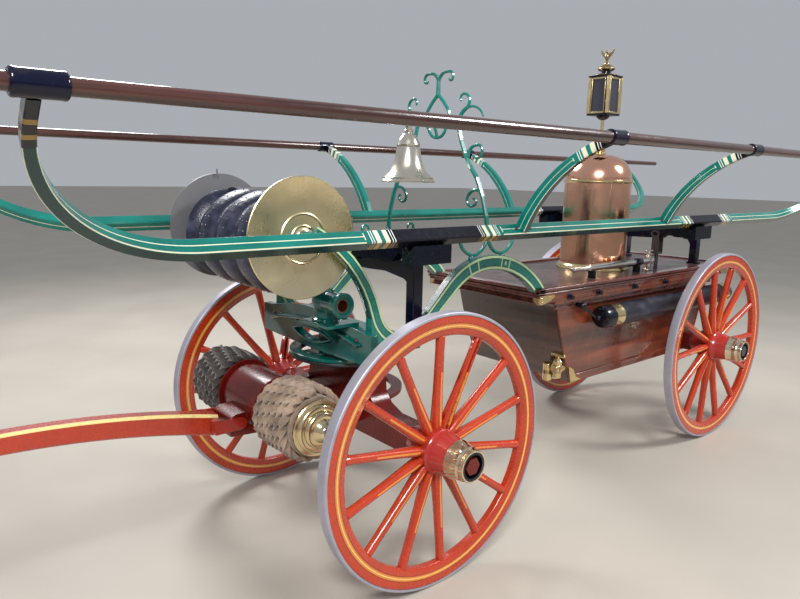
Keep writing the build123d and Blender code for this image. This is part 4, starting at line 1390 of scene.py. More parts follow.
@dataclass
class HoseReel:
    """The big reel: a brass disc near, an iron disc far, and leather hose wound between them."""

    turns: float = 4.0
    half_width: float = 0.070
    half_thick: float = 0.031
    sag: float = 0.027
    wrap: float = 0.189

    def build(self) -> None:
        """Make the discs and the hose."""
        low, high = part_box("reel_disc_near")
        self.inner, self.outer = low.y, high.y
        self.radius = (high.z - low.z) / 2
        self.centre = Vector(((low.x + high.x) / 2, 0, (low.z + high.z) / 2))
        self.near_disc()
        self.far_disc()
        self.hose()

    def near_disc(self) -> None:
        """Spin the brass disc: rolled rim, shallow dish, raised ring and boss."""
        face = self.inner + 0.006
        r = self.radius
        rim = [(-0.0005, 0), (0.0012, -0.002), (0.0006, -0.006), (-0.001, -0.009)]
        rings = [
            (-0.0008, 0.092), (0.0022, 0.0895), (0.0035, 0.0865), (0.0022, 0.0835), (-0.0008, 0.081), (-0.001, 0.050),
            (0.002, 0.0475), (0.003, 0.045), (0.002, 0.0425), (0, 0.040), (0.001, 0.032), (0.006, 0.027), (0.007, 0.0145),
        ]
        profile = [(self.inner, 0.0145), (self.inner, r - 0.002), (self.inner + 0.0015, r)]
        profile += shifted(rim, face, r) + shifted(rings, face)
        piece = Piece("reel_disc_near_brass", SPUN_BRASS)
        piece.lathe(profile, self.centre, Y_AXIS, 96, True)
        piece.done("hose_reel", ["reel_disc_near"], bevel=0)

    def far_disc(self) -> None:
        """Cast the iron disc: a thick rim, webs and a hub."""
        r = self.radius
        back = -self.inner - 0.046
        piece = Piece("reel_disc_far_iron", IRON_DISC)
        rim = [(0, -0.001), (0.007, 0), (0.011, -0.002), (0.011, -0.016), (0.005, -0.020)]
        web = [
            (0.005, 0.095), (0.010, 0.090), (0.010, 0.072), (0.005, 0.068), (0.005, 0.040), (0.012, 0.034), (0.012, 0.0145),
        ]
        profile = [(-back, 0.0145)] + shifted(rim, -back, r) + shifted(web, -back)
        piece.lathe(profile, self.centre, -Y_AXIS, 96, True)
        piece.lathe(
            [(self.inner + 0.010, 0), (self.inner + 0.010, 0.020), (-back, 0.020), (-back, 0)], self.centre,
            -Y_AXIS, 32,
        )
        for turn, reach, long in ((86, r - 0.012, 0.030), (112, r - 0.070, 0.016)):
            out = Vector((math.cos(math.radians(turn)), 0, math.sin(math.radians(turn))))
            foot = self.centre + out * reach + Y_AXIS * (back + 0.008)
            piece.rod(foot, foot + out * long, 0.0035, 10)
        piece.done("hose_reel", ["reel_disc_far"], bevel=0)

    def hose(self) -> None:
        """Wind the flattened hose as a helix that hangs on its core, with a riveted seam on each turn."""
        centre = self.centre - Z_AXIS * self.sag
        half = self.inner - self.half_width - 0.003
        radius = self.wrap - self.half_thick
        piece = Piece("reel_hose_leather", REEL_LEATHER)
        sweep = Sweep(piece, centre + Vector((0, half, radius)), X_AXIS, Y_AXIS)
        sweep.round(self.half_width, 28, self.half_thick / self.half_width)
        pitch = 2 * half / (self.turns - 1)
        steps = 48
        sweep.helix(centre, Y_AXIS, self.turns - 1, -pitch, steps)
        end = self.inner - 0.002
        core = [(-end - 0.044, 0.0895), (-end - 0.044, radius - 0.012), (end, radius - 0.012), (end, 0.0895)]
        piece.lathe(core, centre, Y_AXIS, 64, True)
        for side in (1, -1):
            last = [(-0.060, -0.014), (-0.040, 0.016), (-0.020, 0.024), (0, 0.010), (0, -0.014)]
            piece.lathe(shifted(last, end, radius), centre, Y_AXIS * side, 64, True)
        piece.use(SEAM_COPPER)
        count = 34
        reach = self.wrap - 0.0012 + 0.0004
        for k in range(int((self.turns - 1) * count)):
            spin = Matrix.Rotation(math.tau * k / count, 3, Y_AXIS)
            for offset in (-0.016, 0.016):
                place = centre + spin @ (Z_AXIS * reach) + Y_AXIS * (half - pitch * k / count + offset)
                piece.ball(place, 0.0028, (1, 1, 1), 6)
        piece.done("hose_reel", ["reel_hose"], bevel=0)


@dataclass
class RopeReel:
    """Two spools of laid rope, one each side of the tongue's block."""

    rope_radius: float = 0.018
    lay: float = 0.120
    wrap: float = 0.145
    inside: float = 0.149
    reach: float = 0.390

    def build(self) -> None:
        """Make the spools and wind the rope."""
        low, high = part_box("rope_spool")
        self.centre = Vector(((low.x + high.x) / 2, 0, (low.z + high.z) / 2))
        self.tip = high.y
        self.spools()
        self.rope()

    def spools(self) -> None:
        """Turn each brass drum end with its steps and nut."""
        piece = Piece("rope_spool_brass", SPOOL_BRASS)
        edge = self.reach + 0.001
        steps = [
            (0, 0.012), (0, 0.101), (0.003, 0.104), (0.010, 0.104), (0.013, 0.101), (0.014, 0.092), (0.020, 0.090),
            (0.026, 0.085), (0.028, 0.080), (0.028, 0.070), (0.034, 0.069), (0.041, 0.065), (0.044, 0.060), (0.044, 0.044),
            (0.050, 0.040), (0.058, 0.033), (0.062, 0.030), (0.066, 0.029), (0.074, 0.024), (0.080, 0.012),
        ]
        for side in (1.0, -1.0):
            piece.lathe(shifted(steps, edge), self.centre, Y_AXIS * side, 64, True)
            flange = [(-0.009, 0.012), (-0.009, 0.126), (-0.005, 0.128), (-0.001, 0.126), (-0.001, 0.048)]
            drum = shifted(flange, self.inside) + [(edge, 0.048), (edge, 0.012)]
            piece.use(DARK_RED)
            piece.lathe(drum, self.centre, Y_AXIS * side, 64, True)
            piece.use(SPOOL_BRASS)
        piece.use(IRON)
        piece.lathe(
            [(-self.tip, 0), (-self.tip, 0.0125), (self.tip, 0.0125), (self.tip, 0)], self.centre, Y_AXIS, 24,
        )
        piece.done("rope_reel", ["rope_spool"], bevel=0)

    def rope(self) -> None:
        """Wind twisted rope over each drum, round a plain core that stands for the layers beneath."""
        piece = Piece("drag_rope_lay", ROPE)
        # the far spool and its core get the darker copy of the rope, painted shade
        for side, finish in ((1.0, ROPE), (-1.0, FAR_ROPE_SHADED)):
            piece.use(finish)
            middle = self.centre + Y_AXIS * side * (self.inside + self.reach) / 2
            half = (self.reach - self.inside) / 2 - self.rope_radius - 0.002
            body = [
                (-half - 0.012, 0.0485), (-half - 0.012, self.wrap - 0.034),
                (half + 0.012, self.wrap - 0.034), (half + 0.012, 0.0485),
            ]
            piece.lathe(body, middle, Y_AXIS, 48, True)
            radius = self.wrap - self.rope_radius - 0.001
            turns = 2 * half / (2 * self.rope_radius * 1.02)
            start = middle + Y_AXIS * side * half + Z_AXIS * radius
            sweep = Sweep(piece, start, X_AXIS, Y_AXIS)
            sweep.lobed(self.rope_radius, 3, 12)
            steps = 64
            twist = math.tau * (math.tau * radius / steps) / self.lay
            sweep.helix(middle, Y_AXIS, turns, -side * 2 * half / turns, steps, twist)
        piece.done("rope_reel", ["drag_rope"], bevel=0, smooth=60)


@dataclass
class Tub:
    """The mahogany tub: coved ends that lean in, moulded rim, brass corners and knobs."""

    front: float = -0.819
    rear: float = -0.400
    floor: float = 0.510
    rim_height: float = 0.032
    rim_width: float = 0.046
    wall: float = 0.340
    band: float = 0.376
    band_drop: float = 0.058
    cove_drop: float = 0.042
    cove_in: float = 0.195
    cove_height: float = 0.046
    slant: float = 0.149
    bow: float = 0.012
    band_in: float = 0.014

    def build(self) -> None:
        """Make the tub's wood and its brass."""
        low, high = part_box("tub")
        self.top = high.z
        self.half_y = high.y
        self.tip, tail = axle_x("front") + self.front, axle_x("rear") + self.rear
        self.middle, self.long = (self.tip + tail) / 2, self.tip - tail
        self.wood()
        self.ends()
        self.brass()

    def profile(self, grow: float = 0.0) -> list[Pair]:
        """Return one end's side view from the rim down, from the tub's middle.

        Args:
            grow: how far the outline is moved out.

        Returns:
            Places along the engine from the tub's middle, and heights.
        """
        half = self.long / 2 - self.band_in + grow
        cove_top = self.top - self.rim_height - self.cove_drop
        points = [(half, cove_top)]
        for k in range(1, 9):
            t = math.radians(90 * k / 8)
            drop = self.cove_height * (1 - math.cos(t) ** 0.9)
            points.append((half - self.cove_in * math.sin(t) ** 1.15, cove_top - drop))
        for k in range(1, 8):
            share = k / 8
            x = half - self.cove_in - self.slant * share + self.bow * math.sin(math.pi * share)
            z = cove_top - self.cove_height + share * (self.floor - cove_top + self.cove_height)
            points.append((x, z))
        return points + [(half - self.cove_in - self.slant, self.floor)]

    def wood(self) -> None:
        """Make body, bands and rim."""
        piece = Piece("tub_wood", MAHOGANY)
        rim_low = self.top - self.rim_height
        outline = [(self.long / 2 - self.band_in, rim_low)] + self.profile()
        ring = outline + [(-x, z) for x, z in reversed(outline)]
        piece.prism(
            [Vector((self.middle + x, -self.wall, z)) for x, z in ring], Vector((0, 2 * self.wall, 0)),
        )
        piece.block(
            (self.middle, 0, rim_low - self.cove_drop / 2),
            (self.long - 2 * self.band_in, 2 * self.band, self.cove_drop),
        )
        inner = self.long - 2 * self.cove_in
        piece.block(
            (self.middle, 0, rim_low - self.band_drop / 2),
            (inner + 0.1, 2 * self.band - 0.006, self.band_drop),
        )
        for side in (1, -1):
            reach = 2 * self.profile()[-1][0]
            piece.block((self.middle, side * (self.wall + 0.003), self.floor + 0.020), (reach, 0.012, 0.040))
            piece.use(MOULDING)
            for drop, out, tall in (
                (self.band_drop + 0.006, 0.012, 0.012), (self.band_drop + 0.022, 0.006, 0.020),
            ):
                piece.block(
                    (self.middle, side * (self.wall + 0.004 + out / 2), rim_low - drop),
                    (inner + 0.04, out + 0.008, tall),
                )
            piece.use(MAHOGANY)
        piece.use(MOULDING)
        self.rim(piece, rim_low)
        piece.done("carriage", ["tub"], bevel=0.003)

    def rim(self, piece: Piece, low: float) -> None:
        """Lay the rim's moulded steps round the deck.

        Args:
            piece: the piece that it is added to.
            low: the height of its underside.
        """
        half_x, half_y = self.long / 2, self.half_y
        for drop, height, inset in (
            (-0.014, 0.014, 0.010), (0.0, 0.010, 0.004), (0.010, 0.006, 0.009), (0.016, 0.016, 0.0),
        ):
            x, y, z = half_x - inset, half_y - inset, low + drop + height / 2
            for side in (1, -1):
                piece.block(
                    (self.middle, side * (y - self.rim_width / 2), z), (2 * x, self.rim_width, height),
                )
                piece.block(
                    (self.middle + side * (x - self.rim_width / 2), 0, z), (self.rim_width, 2 * y, height),
                )

    def ends(self) -> None:
        """Veneer both ends in dark gloss wood."""
        piece = Piece("tub_end_veneer", END_WOOD)
        inner = self.profile()[3:]
        outer = self.profile(0.0025)[3:]
        for end in (1, -1):
            ring = [(end * x, z) for x, z in outer + inner[::-1]]
            reach = self.wall - 0.010
            piece.prism([Vector((self.middle + x, -reach, z)) for x, z in ring], Vector((0, 2 * reach, 0)))
        piece.done("carriage", bevel=0)

    def brass(self) -> None:
        """Add the corner plates, band knobs, the lever and the drain cock."""
        piece = Piece("tub_brass", BRASS)
        rim_low = self.top - self.rim_height
        for end in (1, -1):
            for side in (1, -1):
                corner = Vector((
                    self.middle + end * (self.long / 2 - self.band_in), side * self.band, rim_low,
                ))
                face = [
                    (0, -0.002), (-0.112, -0.002), (-0.120, -0.012), (-0.080, -0.034), (-0.016, -0.046),
                    (0, -0.040),
                ]
                plate = [corner + Vector((end * a, side * 0.0035, b)) for a, b in face]
                piece.prism(plate, Vector((0, side * -0.006, 0)))
                plate = [corner + Vector((end * 0.0035, side * a * 0.3, b)) for a, b in face]
                piece.prism(plate, Vector((end * -0.006, 0, 0)))
                for a, b in ((-0.018, -0.014), (-0.076, -0.012), (-0.022, -0.034)):
                    piece.bolt(corner + Vector((end * a, side * 0.003, b)), (0, side, 0), 0.005, 0.003)
        self.cock(piece)
        piece.use(PLAIN_BLACK)
        for side in (1, -1):
            for back in (0.249, 0.492, 0.829, 1.150):
                self.knob(piece, Vector((self.tip - back, side * self.band, rim_low - 0.026)), side)
        self.lever(piece, rim_low)
        piece.done("carriage", bevel=0.0008)

    def lever(self, piece: Piece, rim_low: float) -> None:
        """Hang the small crank in front of the near hose's cap.

        Args:
            piece: the piece that it is added to.
            rim_low: the height of the rim's underside.
        """
        _, hose_y, hose_z = middle_of("suction_hose_near")
        pin = Vector((self.tip - 0.345, self.wall + 0.006, rim_low - self.band_drop - 0.022))
        cap = Vector((axle_x("front") - 1.302, hose_y, hose_z - 0.010))
        piece.rod(pin + Vector((0, -0.010, 0)), pin + Vector((0, 0.040, 0)), 0.011, 20)
        piece.ball(pin + Vector((0, 0.046, 0)), 0.019, (1, 1, 1), 16)
        piece.rod(pin + Vector((0, 0.034, 0)), cap + Vector((0.010, -0.010, 0)), 0.0085, 16)
        piece.ball(cap + Vector((0.008, 0, 0)), 0.015, (1, 1, 1), 14)

    def cock(self, piece: Piece) -> None:
        """Set a brass drain cock low on the front corner, near side.

        Args:
            piece: the piece that it is added to.
        """
        foot = Vector((self.middle + self.profile()[-3][0], self.wall - 0.030, self.floor + 0.080))
        drum = [(-0.044, 0), (-0.044, 0.020), (-0.040, 0.024), (0.014, 0.024), (0.018, 0.020), (0.018, 0)]
        for z in (0.0, -0.032):
            piece.lathe(drum, foot + Vector((0.030, -0.062, z)), Z_AXIS, 28)
        plate = [(0.010, 0.000), (0.034, 0.085), (-0.004, 0.070), (-0.030, 0.024), (-0.080, 0.000)]
        corner = Vector((self.middle + self.profile()[-1][0], self.wall + 0.006, self.floor + 0.004))
        piece.prism([corner + Vector((a, 0, b)) for a, b in plate], Vector((0, 0.005, 0)))
        spout = [
            (-0.02, 0), (-0.02, 0.026), (0.028, 0.026), (0.032, 0.032), (0.044, 0.032), (0.048, 0.024), (0.060, 0.020),
            (0.060, 0),
        ]
        plug = [
            (-0.050, 0), (-0.050, 0.018), (-0.042, 0.023), (0.040, 0.023), (0.048, 0.016), (0.060, 0.010),
            (0.066, 0),
        ]
        handle = [(-0.040, 0), (-0.040, 0.008), (-0.030, 0.011), (0.030, 0.011), (0.040, 0.008), (0.040, 0)]
        piece.lathe(spout, foot, X_AXIS, 32)
        piece.lathe(plug, foot + Vector((0.030, 0, 0)), Z_AXIS, 28)
        piece.lathe(handle, foot + Vector((0.030, 0, 0.070)), Y_AXIS, 16)

    def knob(self, piece: Piece, place: Vector, side: float) -> None:
        """Turn one dark knob on the band."""
        profile = [
            (-0.004, 0), (-0.004, 0.018), (0.003, 0.018), (0.006, 0.010), (0.012, 0.008), (0.018, 0.013),
            (0.024, 0.012), (0.028, 0.006), (0.029, 0),
        ]
        piece.lathe(profile, place, Vector((0, side, 0)), 24)


@dataclass
class Bolster:
    """The green casting on the fifth wheel: plate, pierced truss, shelf and the outlet elbow."""

    top: float = 0.906
    truss_x: float = 0.142
    truss_deep: float = 0.034
    truss_half: float = 0.405
    lens: float = 0.145
    lens_z: float = 0.892
    elbow_y: float = 0.175

    def build(self) -> None:
        """Make the casting and the elbow."""
        self.axle = axle_x("front")
        self.casting()
        self.elbow()

    def casting(self) -> None:
        """Cast plate, spine, ring, truss, rib and shelf."""
        piece = Piece("bolster_casting", CAST_GREEN)
        x, top = self.axle, self.top
        piece.block((x, 0, top - 0.020), (0.190, 0.750, 0.040))
        piece.block((x, 0, top - 0.066), (0.130, 0.240, 0.056))
        for side in (1, -1):
            piece.block((x + 0.105, side * 0.340, top - 0.020), (0.090, 0.076, 0.040))
        self.truss(piece)
        ring = [(0.799, 0.199), (0.799, 0.245), (0.812, 0.245), (0.812, 0.199)]
        piece.lathe(ring, Vector((x, 0, 0)), Z_AXIS, 72, True)
        piece.block((x, 0, 0.8055), (0.400, 0.090, 0.012))
        piece.block((x, 0, 0.8055), (0.120, 0.400, 0.012))
        piece.use(IRON)
        for side in (1, -1):
            for a in (0.115, 0.250, 0.310):
                piece.bolt(
                    (x + self.truss_x + self.truss_deep, side * a, top + 0.035 - a * 0.06), X_AXIS, 0.010,
                    0.007,
                )
        piece.done("carriage", ["bolster"], bevel=0.003)

    def truss(self, piece: Piece) -> None:
        """Cast the truss: a wall round the lens opening, a lip round it, a rib and the shelf.

        Args:
            piece: the piece that it is added to.
        """
        x, depth = self.axle + self.truss_x, Vector((self.truss_deep, 0, 0))
        half, z = self.truss_half, self.lens_z
        upper = [
            (-half, 0.958), (-0.330, 0.962), (-0.200, 0.988), (-0.070, 1.000), (0.070, 1.000), (0.200, 0.988),
            (0.330, 0.962), (half, 0.958),
        ]
        lower = [(-half, 0.838), (-0.300, 0.832), (0.0, 0.826), (0.300, 0.832), (half, 0.838)]
        turns = [math.radians(a) for a in range(180, -1, -15)]
        crown = [(self.lens * math.cos(t), z + 0.020 * math.sin(t)) for t in turns]
        keel = [(self.lens * math.cos(t), z - 0.032 * math.sin(t)) for t in turns]
        above = [(-half, z)] + upper + [(half, z)] + crown[::-1]
        below = [(-half, z)] + keel + [(half, z)] + lower[::-1]
        for ring in (above, below):
            piece.prism([Vector((x, a, b)) for a, b in ring], depth)
        # out from the wall, half length, height at the ends, rise in the middle, section and its corners
        for out, reach, low, rise, wide, deep, corner in (
            (0.020, self.lens, z, 0.022, 0.046, 0.010, 0.003),
            (0.020, self.lens, z, -0.034, 0.046, 0.010, 0.003),
            (0.036, 0.330, 0.905, 0.043, 0.026, 0.016, 0.004),
        ):
            start, via, end = (
                Vector((x + out, y, low + lift))
                for y, lift in ((-reach, 0), (0, rise), (reach, 0))
            )
            Sweep(piece, start, first_heading(start, via, end), X_AXIS).bar(wide, deep, corner).arc(via, end)
        piece.block((x + 0.070, self.elbow_y + 0.015, 0.9785), (0.146, 0.180, 0.013))
        gusset = [(0.028, 0.975), (0.130, 0.975), (0.028, 0.878)]
        piece.prism([Vector((x + a, self.elbow_y - 0.009, z)) for a, z in gusset], Vector((0, 0.018, 0)))

    def elbow(self) -> None:
        """Cast the domed elbow and its copper mouth."""
        low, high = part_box("outlet")
        centre = Vector(((low.x + high.x) / 2, self.elbow_y, (low.z + high.z) / 2))
        piece = Piece("outlet_elbow", CAST_GREEN)
        piece.ball(centre, 0.052, (1, 1, 1.05), 32)
        foot = [
            (-0.075, 0.0), (-0.075, 0.052), (-0.064, 0.054), (-0.060, 0.044), (-0.040, 0.038), (0.0, 0.042),
            (0.0, 0),
        ]
        piece.lathe(foot, centre, Z_AXIS, 40)
        for k in range(6):
            turn = math.radians(60 * k + 30)
            piece.bolt(
                centre + Vector((0.045 * math.cos(turn), 0.045 * math.sin(turn), -0.064)), Z_AXIS, 0.006,
                0.005,
            )
        mouth = high.y - self.elbow_y
        flare = [
            (-0.040, 0.043), (-0.030, 0.046), (-0.018, 0.050), (-0.006, 0.050), (0, 0.045), (0, 0.034), (-0.008, 0.030),
            (-0.008, 0.026),
        ]
        tube = [(0.0, 0), (0.0, 0.044)] + shifted(flare, mouth) + [(0.040, 0.026), (0.040, 0)]
        piece.lathe(tube, centre, Y_AXIS, 48)
        piece.use(MOUTH_COPPER)
        liner = [
            (0.041, 0.0), (0.041, 0.0255), (mouth - 0.010, 0.0257), (mouth - 0.010, 0.0225), (0.060, 0.0225),
            (0.060, 0.0),
        ]
        piece.lathe(liner, centre, Y_AXIS, 40)
        piece.done("carriage", ["outlet"], bevel=0)


@dataclass
class Truck:
    """The dark red timber under the bolster: axle bed, tongue block and the round between the rope spools."""

    def build(self) -> None:
        """Make the timber and its irons."""
        x = axle_x("front")
        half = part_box("truck_frame")[1].y
        axle_z = middle_of("front_tyre_near")[2]
        reel_x, _, reel_z = middle_of("rope_spool")
        piece = Piece("truck_timber", DARK_RED)
        steps = [(0.330, 0.058), (0.262, 0.085), (0.226, 0.130), (0.215, 0.250)]
        bed = [(-half, -0.052), (half, -0.052), (half, 0.056)] + ring_of(steps) + [(-half, 0.056)]
        piece.prism([Vector((x - 0.048, y, axle_z + z)) for y, z in bed], Vector((0.096, 0, 0)))
        block = [
            (0, 0.500), (0.300, 0.530), (0.470, 0.548), (0.585, 0.556), (0.585, 0.630), (0.560, 0.642), (0.470, 0.648),
            (0.300, 0.640), (0.282, 0.622), (0, 0.622),
        ]
        piece.prism([Vector((x + a, -0.074, z)) for a, z in block], Vector((0, 0.148, 0)))
        for side in (1, -1):
            start = Vector((x + 0.03, side * 0.150, axle_z + 0.02))
            brace = Sweep(piece, start, Vector((0.36, side * -0.075, -0.01)), Z_AXIS)
            brace.bar(0.060, 0.040, 0.006).run(0.40, 3, (0.9, 0.9))
        drum = [(-0.136, 0), (-0.136, 0.106), (-0.132, 0.112), (-0.100, 0.114)]
        drum += [(-a, q) for a, q in reversed(drum)]
        piece.lathe(drum, Vector((reel_x, 0, reel_z)), Y_AXIS, 64)
        piece.use(IRON)
        ring = [(0.784, 0.199), (0.784, 0.245), (0.797, 0.245), (0.797, 0.199)]
        piece.lathe(ring, Vector((x, 0, 0)), Z_AXIS, 72, True)
        piece.block((x, 0, 0.7905), (0.400, 0.090, 0.012))
        for side in (1, -1):
            for a, z in ((0.10, 0.575), (0.20, 0.580), (0.50, 0.600)):
                piece.bolt((x + a, side * 0.074, z), (0, side, 0), 0.011, 0.008)
        piece.done("truck", ["truck_frame"], bevel=0.004)


@dataclass
class Stands:
    """The iron portals that carry the rocking shaft: one on the crane necks, one on the deck."""

    pivot: float = 1.235
    neck_top: float = 0.941
    deep: float = 0.050

    def build(self) -> None:
        """Make both portals."""
        foot = self.neck_top - self.pivot
        front = [
            (0.060, -0.028), (0.200, -0.030), (0.317, -0.020), (0.322, 0.024), (0.363, 0.024), (0.363, foot),
            (0.317, foot), (0.317, -0.105), (0.300, -0.095), (0.180, -0.078), (0.060, -0.082),
        ]
        self.portal("front_stand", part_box("front_stand")[0].x, front)
        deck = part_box("rear_stand")[0].z - self.pivot
        shoe = [(0.267, 0.014), (0.280, 0.012), (0.280, 0), (0.208, 0), (0.208, 0.012), (0.221, 0.014)]
        rear = [(0.060, 0.026), (0.170, 0.020), (0.221, 0.014), (0.260, -0.018), (0.267, -0.060)]
        rear += [(a, b + deck) for a, b in shoe]
        rear += [(0.221, -0.090), (0.205, -0.062), (0.175, -0.045), (0.060, -0.045)]
        self.portal("rear_stand", axle_x("rear") - 0.215, rear)
        piece = Piece("rocker_shaft_iron", NAVY)
        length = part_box("rocker_rear")[1].x - axle_x("rear") + 0.215 - 0.220
        shaft = [
            (0, 0), (0, 0.018), (0.004, 0.0198), (0.060, 0.0198), (0.064, 0.018), (length, 0.018),
            (length, 0),
        ]
        piece.lathe(shaft, Vector((axle_x("rear") - 0.225, 0, self.pivot)), X_AXIS, 28)
        piece.done("brakes", bevel=0)

    def portal(self, node: str, x: float, half: Sequence[Pair]) -> None:
        """Draw one portal out of its +Y half, with a bearing cap and bolts.

        Args:
            node: the CAD node that it stands for.
            x: its rear face along the engine.
            half: its +Y half, from the middle out and back.
        """
        piece = Piece(f"{node}_iron", NAVY)
        piece.prism([Vector((x, y, self.pivot + z)) for y, z in ring_of(half)], Vector((self.deep, 0, 0)))
        cap = [
            (-0.003, 0.0205), (-0.003, 0.038), (0.002, 0.042), (self.deep - 0.002, 0.042),
            (self.deep + 0.003, 0.038), (self.deep + 0.003, 0.0205),
        ]
        piece.lathe(cap, Vector((x, 0, self.pivot)), X_AXIS, 48, True)
        for y in (-0.052, 0.052):
            piece.bolt((x + self.deep / 2, y, self.pivot + 0.020), Z_AXIS, 0.009, 0.012)
        piece.done("carriage", [node], bevel=0.003)


@dataclass
class BellFrame:
    """The scrolled iron frame over the crane necks, bent from flat bar."""

    neck_y: float = 0.340
    foot: float = 1.290
    wide: float = 0.014
    deep: float = 0.014

    def build(self) -> None:
        """Bend every scroll."""
        self.x = axle_x("front") - 0.500
        piece = Piece("bell_frame_iron", PLAIN_GREEN)
        nut = [
            (1.190, 0), (1.190, 0.013), (1.206, 0.013), (1.212, 0.009), (1.222, 0.010), (1.226, 0.006),
            (1.226, 0),
        ]
        f = self.foot
        # three points of the arc, each (out from the middle, height), then the bar's thickness at both ends
        for side in (1, -1):
            for curve, begin, end in (
                (((self.neck_y, f), (0.312, 1.430), (0.262, 1.540)), 1.35, 1.35),
                (((0.262, 1.540), (0.178, 1.656), (0.138, 1.762)), 1.35, 1.2),
                (((0.138, 1.762), (0.146, 1.806), (0.186, 1.840)), 1.2, 1.0),
                (((0.186, 1.840), (0.199, 1.876), (0.172, 1.898)), 1.0, 0.8),
                (((0.172, 1.898), (0.150, 1.893), (0.147, 1.873)), 0.8, 0.7),
                (((0.148, 1.800), (0.219, 1.843), (0.284, 1.800)), 0.9, 0.6),
                (((0.203, 1.628), (0.222, 1.669), (0.252, 1.679)), 1.0, 0.9),
                (((0.252, 1.679), (0.283, 1.668), (0.285, 1.647)), 0.9, 0.8),
                (((0.285, 1.647), (0.262, 1.624), (0.234, 1.636)), 0.8, 0.6),
                (((0.294, 1.478), (0.238, 1.484), (0.208, 1.452)), 1.0, 0.9),
                (((0.208, 1.452), (0.220, 1.421), (0.254, 1.424)), 0.9, 0.8),
                (((0.254, 1.424), (0.263, 1.440), (0.245, 1.450)), 0.8, 0.6),
                (((0.0, 1.955), (0.026, 1.996), (0.060, 2.001)), 1.0, 0.9),
                (((0.060, 2.001), (0.088, 1.992), (0.092, 1.975)), 0.9, 0.8),
                (((0.092, 1.975), (0.082, 1.962), (0.070, 1.968)), 0.8, 0.6),
                (((0.0, 1.908), (0.034, 1.878), (0.068, 1.838)), 1.1, 1.0),
                (((0.068, 1.838), (0.077, 1.796), (0.057, 1.757)), 1.0, 0.9),
                (((0.057, 1.757), (0.034, 1.726), (0.0, 1.716)), 0.9, 0.9),
                (((0.072, 1.800), (0.104, 1.783), (0.139, 1.772)), 1.0, 1.0),
            ):
                self.bend(piece, [Vector((self.x, side * y, z)) for y, z in curve], X_AXIS, begin, end)
            for way in (1, -1):
                y = side * self.neck_y
                loop = [(0.002, f + 0.012), (0.098, 1.219), (0.166, f - 0.014)]
                self.bend(piece, [Vector((self.x + way * a, y, z)) for a, z in loop], Y_AXIS, 1.1, 1.0)
                curl = [(0.166, f - 0.014), (0.150, f + 0.008), (0.128, f - 0.012)]
                self.bend(piece, [Vector((self.x + way * a, y, z)) for a, z in curl], Y_AXIS, 1.0, 0.7)
                piece.lathe(nut, Vector((self.x + way * 0.098, y, 0)), Z_AXIS, 20)
        crest = [(0, 1.904), (0.0004, 1.940), (0, 1.982)]
        self.bend(piece, [Vector((self.x, y, z)) for y, z in crest], X_AXIS, 1.4, 1.1)
        bell_low, bell_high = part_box("bell")
        bell_x, pin = (bell_low.x + bell_high.x) / 2, bell_high.z - 0.011
        hook = [
            Vector((self.x, 0, 1.716)), Vector((self.x + 0.085, 0, 1.806)),
            Vector((bell_x - 0.003, 0, pin + 0.012)),
        ]
        self.bend(piece, hook, Y_AXIS, 1.0, 0.7)
        piece.lathe(
            [(-0.005, 0.0065), (-0.005, 0.013), (0.005, 0.013), (0.005, 0.0065)], Vector((bell_x, 0, pin)),
            Y_AXIS, 24, True,
        )
        piece.done("carriage", ["bell_frame"], bevel=0)

    def bend(self, piece: Piece, curve: Sequence[Vector], side: Vector, begin: float, finish: float) -> None:
        """Bend one bar round an arc, from one thickness to another, with a ball where it ends.

        Args:
            piece: the piece that it is added to.
            curve: three places on the arc.
            side: the bar's first direction.
            begin: its thickness at the start, as a factor.
            finish: its thickness at the end, as a factor.
        """
        start, via, end = curve
        sweep = Sweep(piece, start, first_heading(start, via, end), side)
        sweep.bar(self.wide * begin, self.deep * begin, 0.0035 * begin)
        sweep.arc(via, end, (finish / begin, finish / begin), 8.0)
        piece.ball(end, self.deep * finish * 0.52, (1, 1, 1), 10)


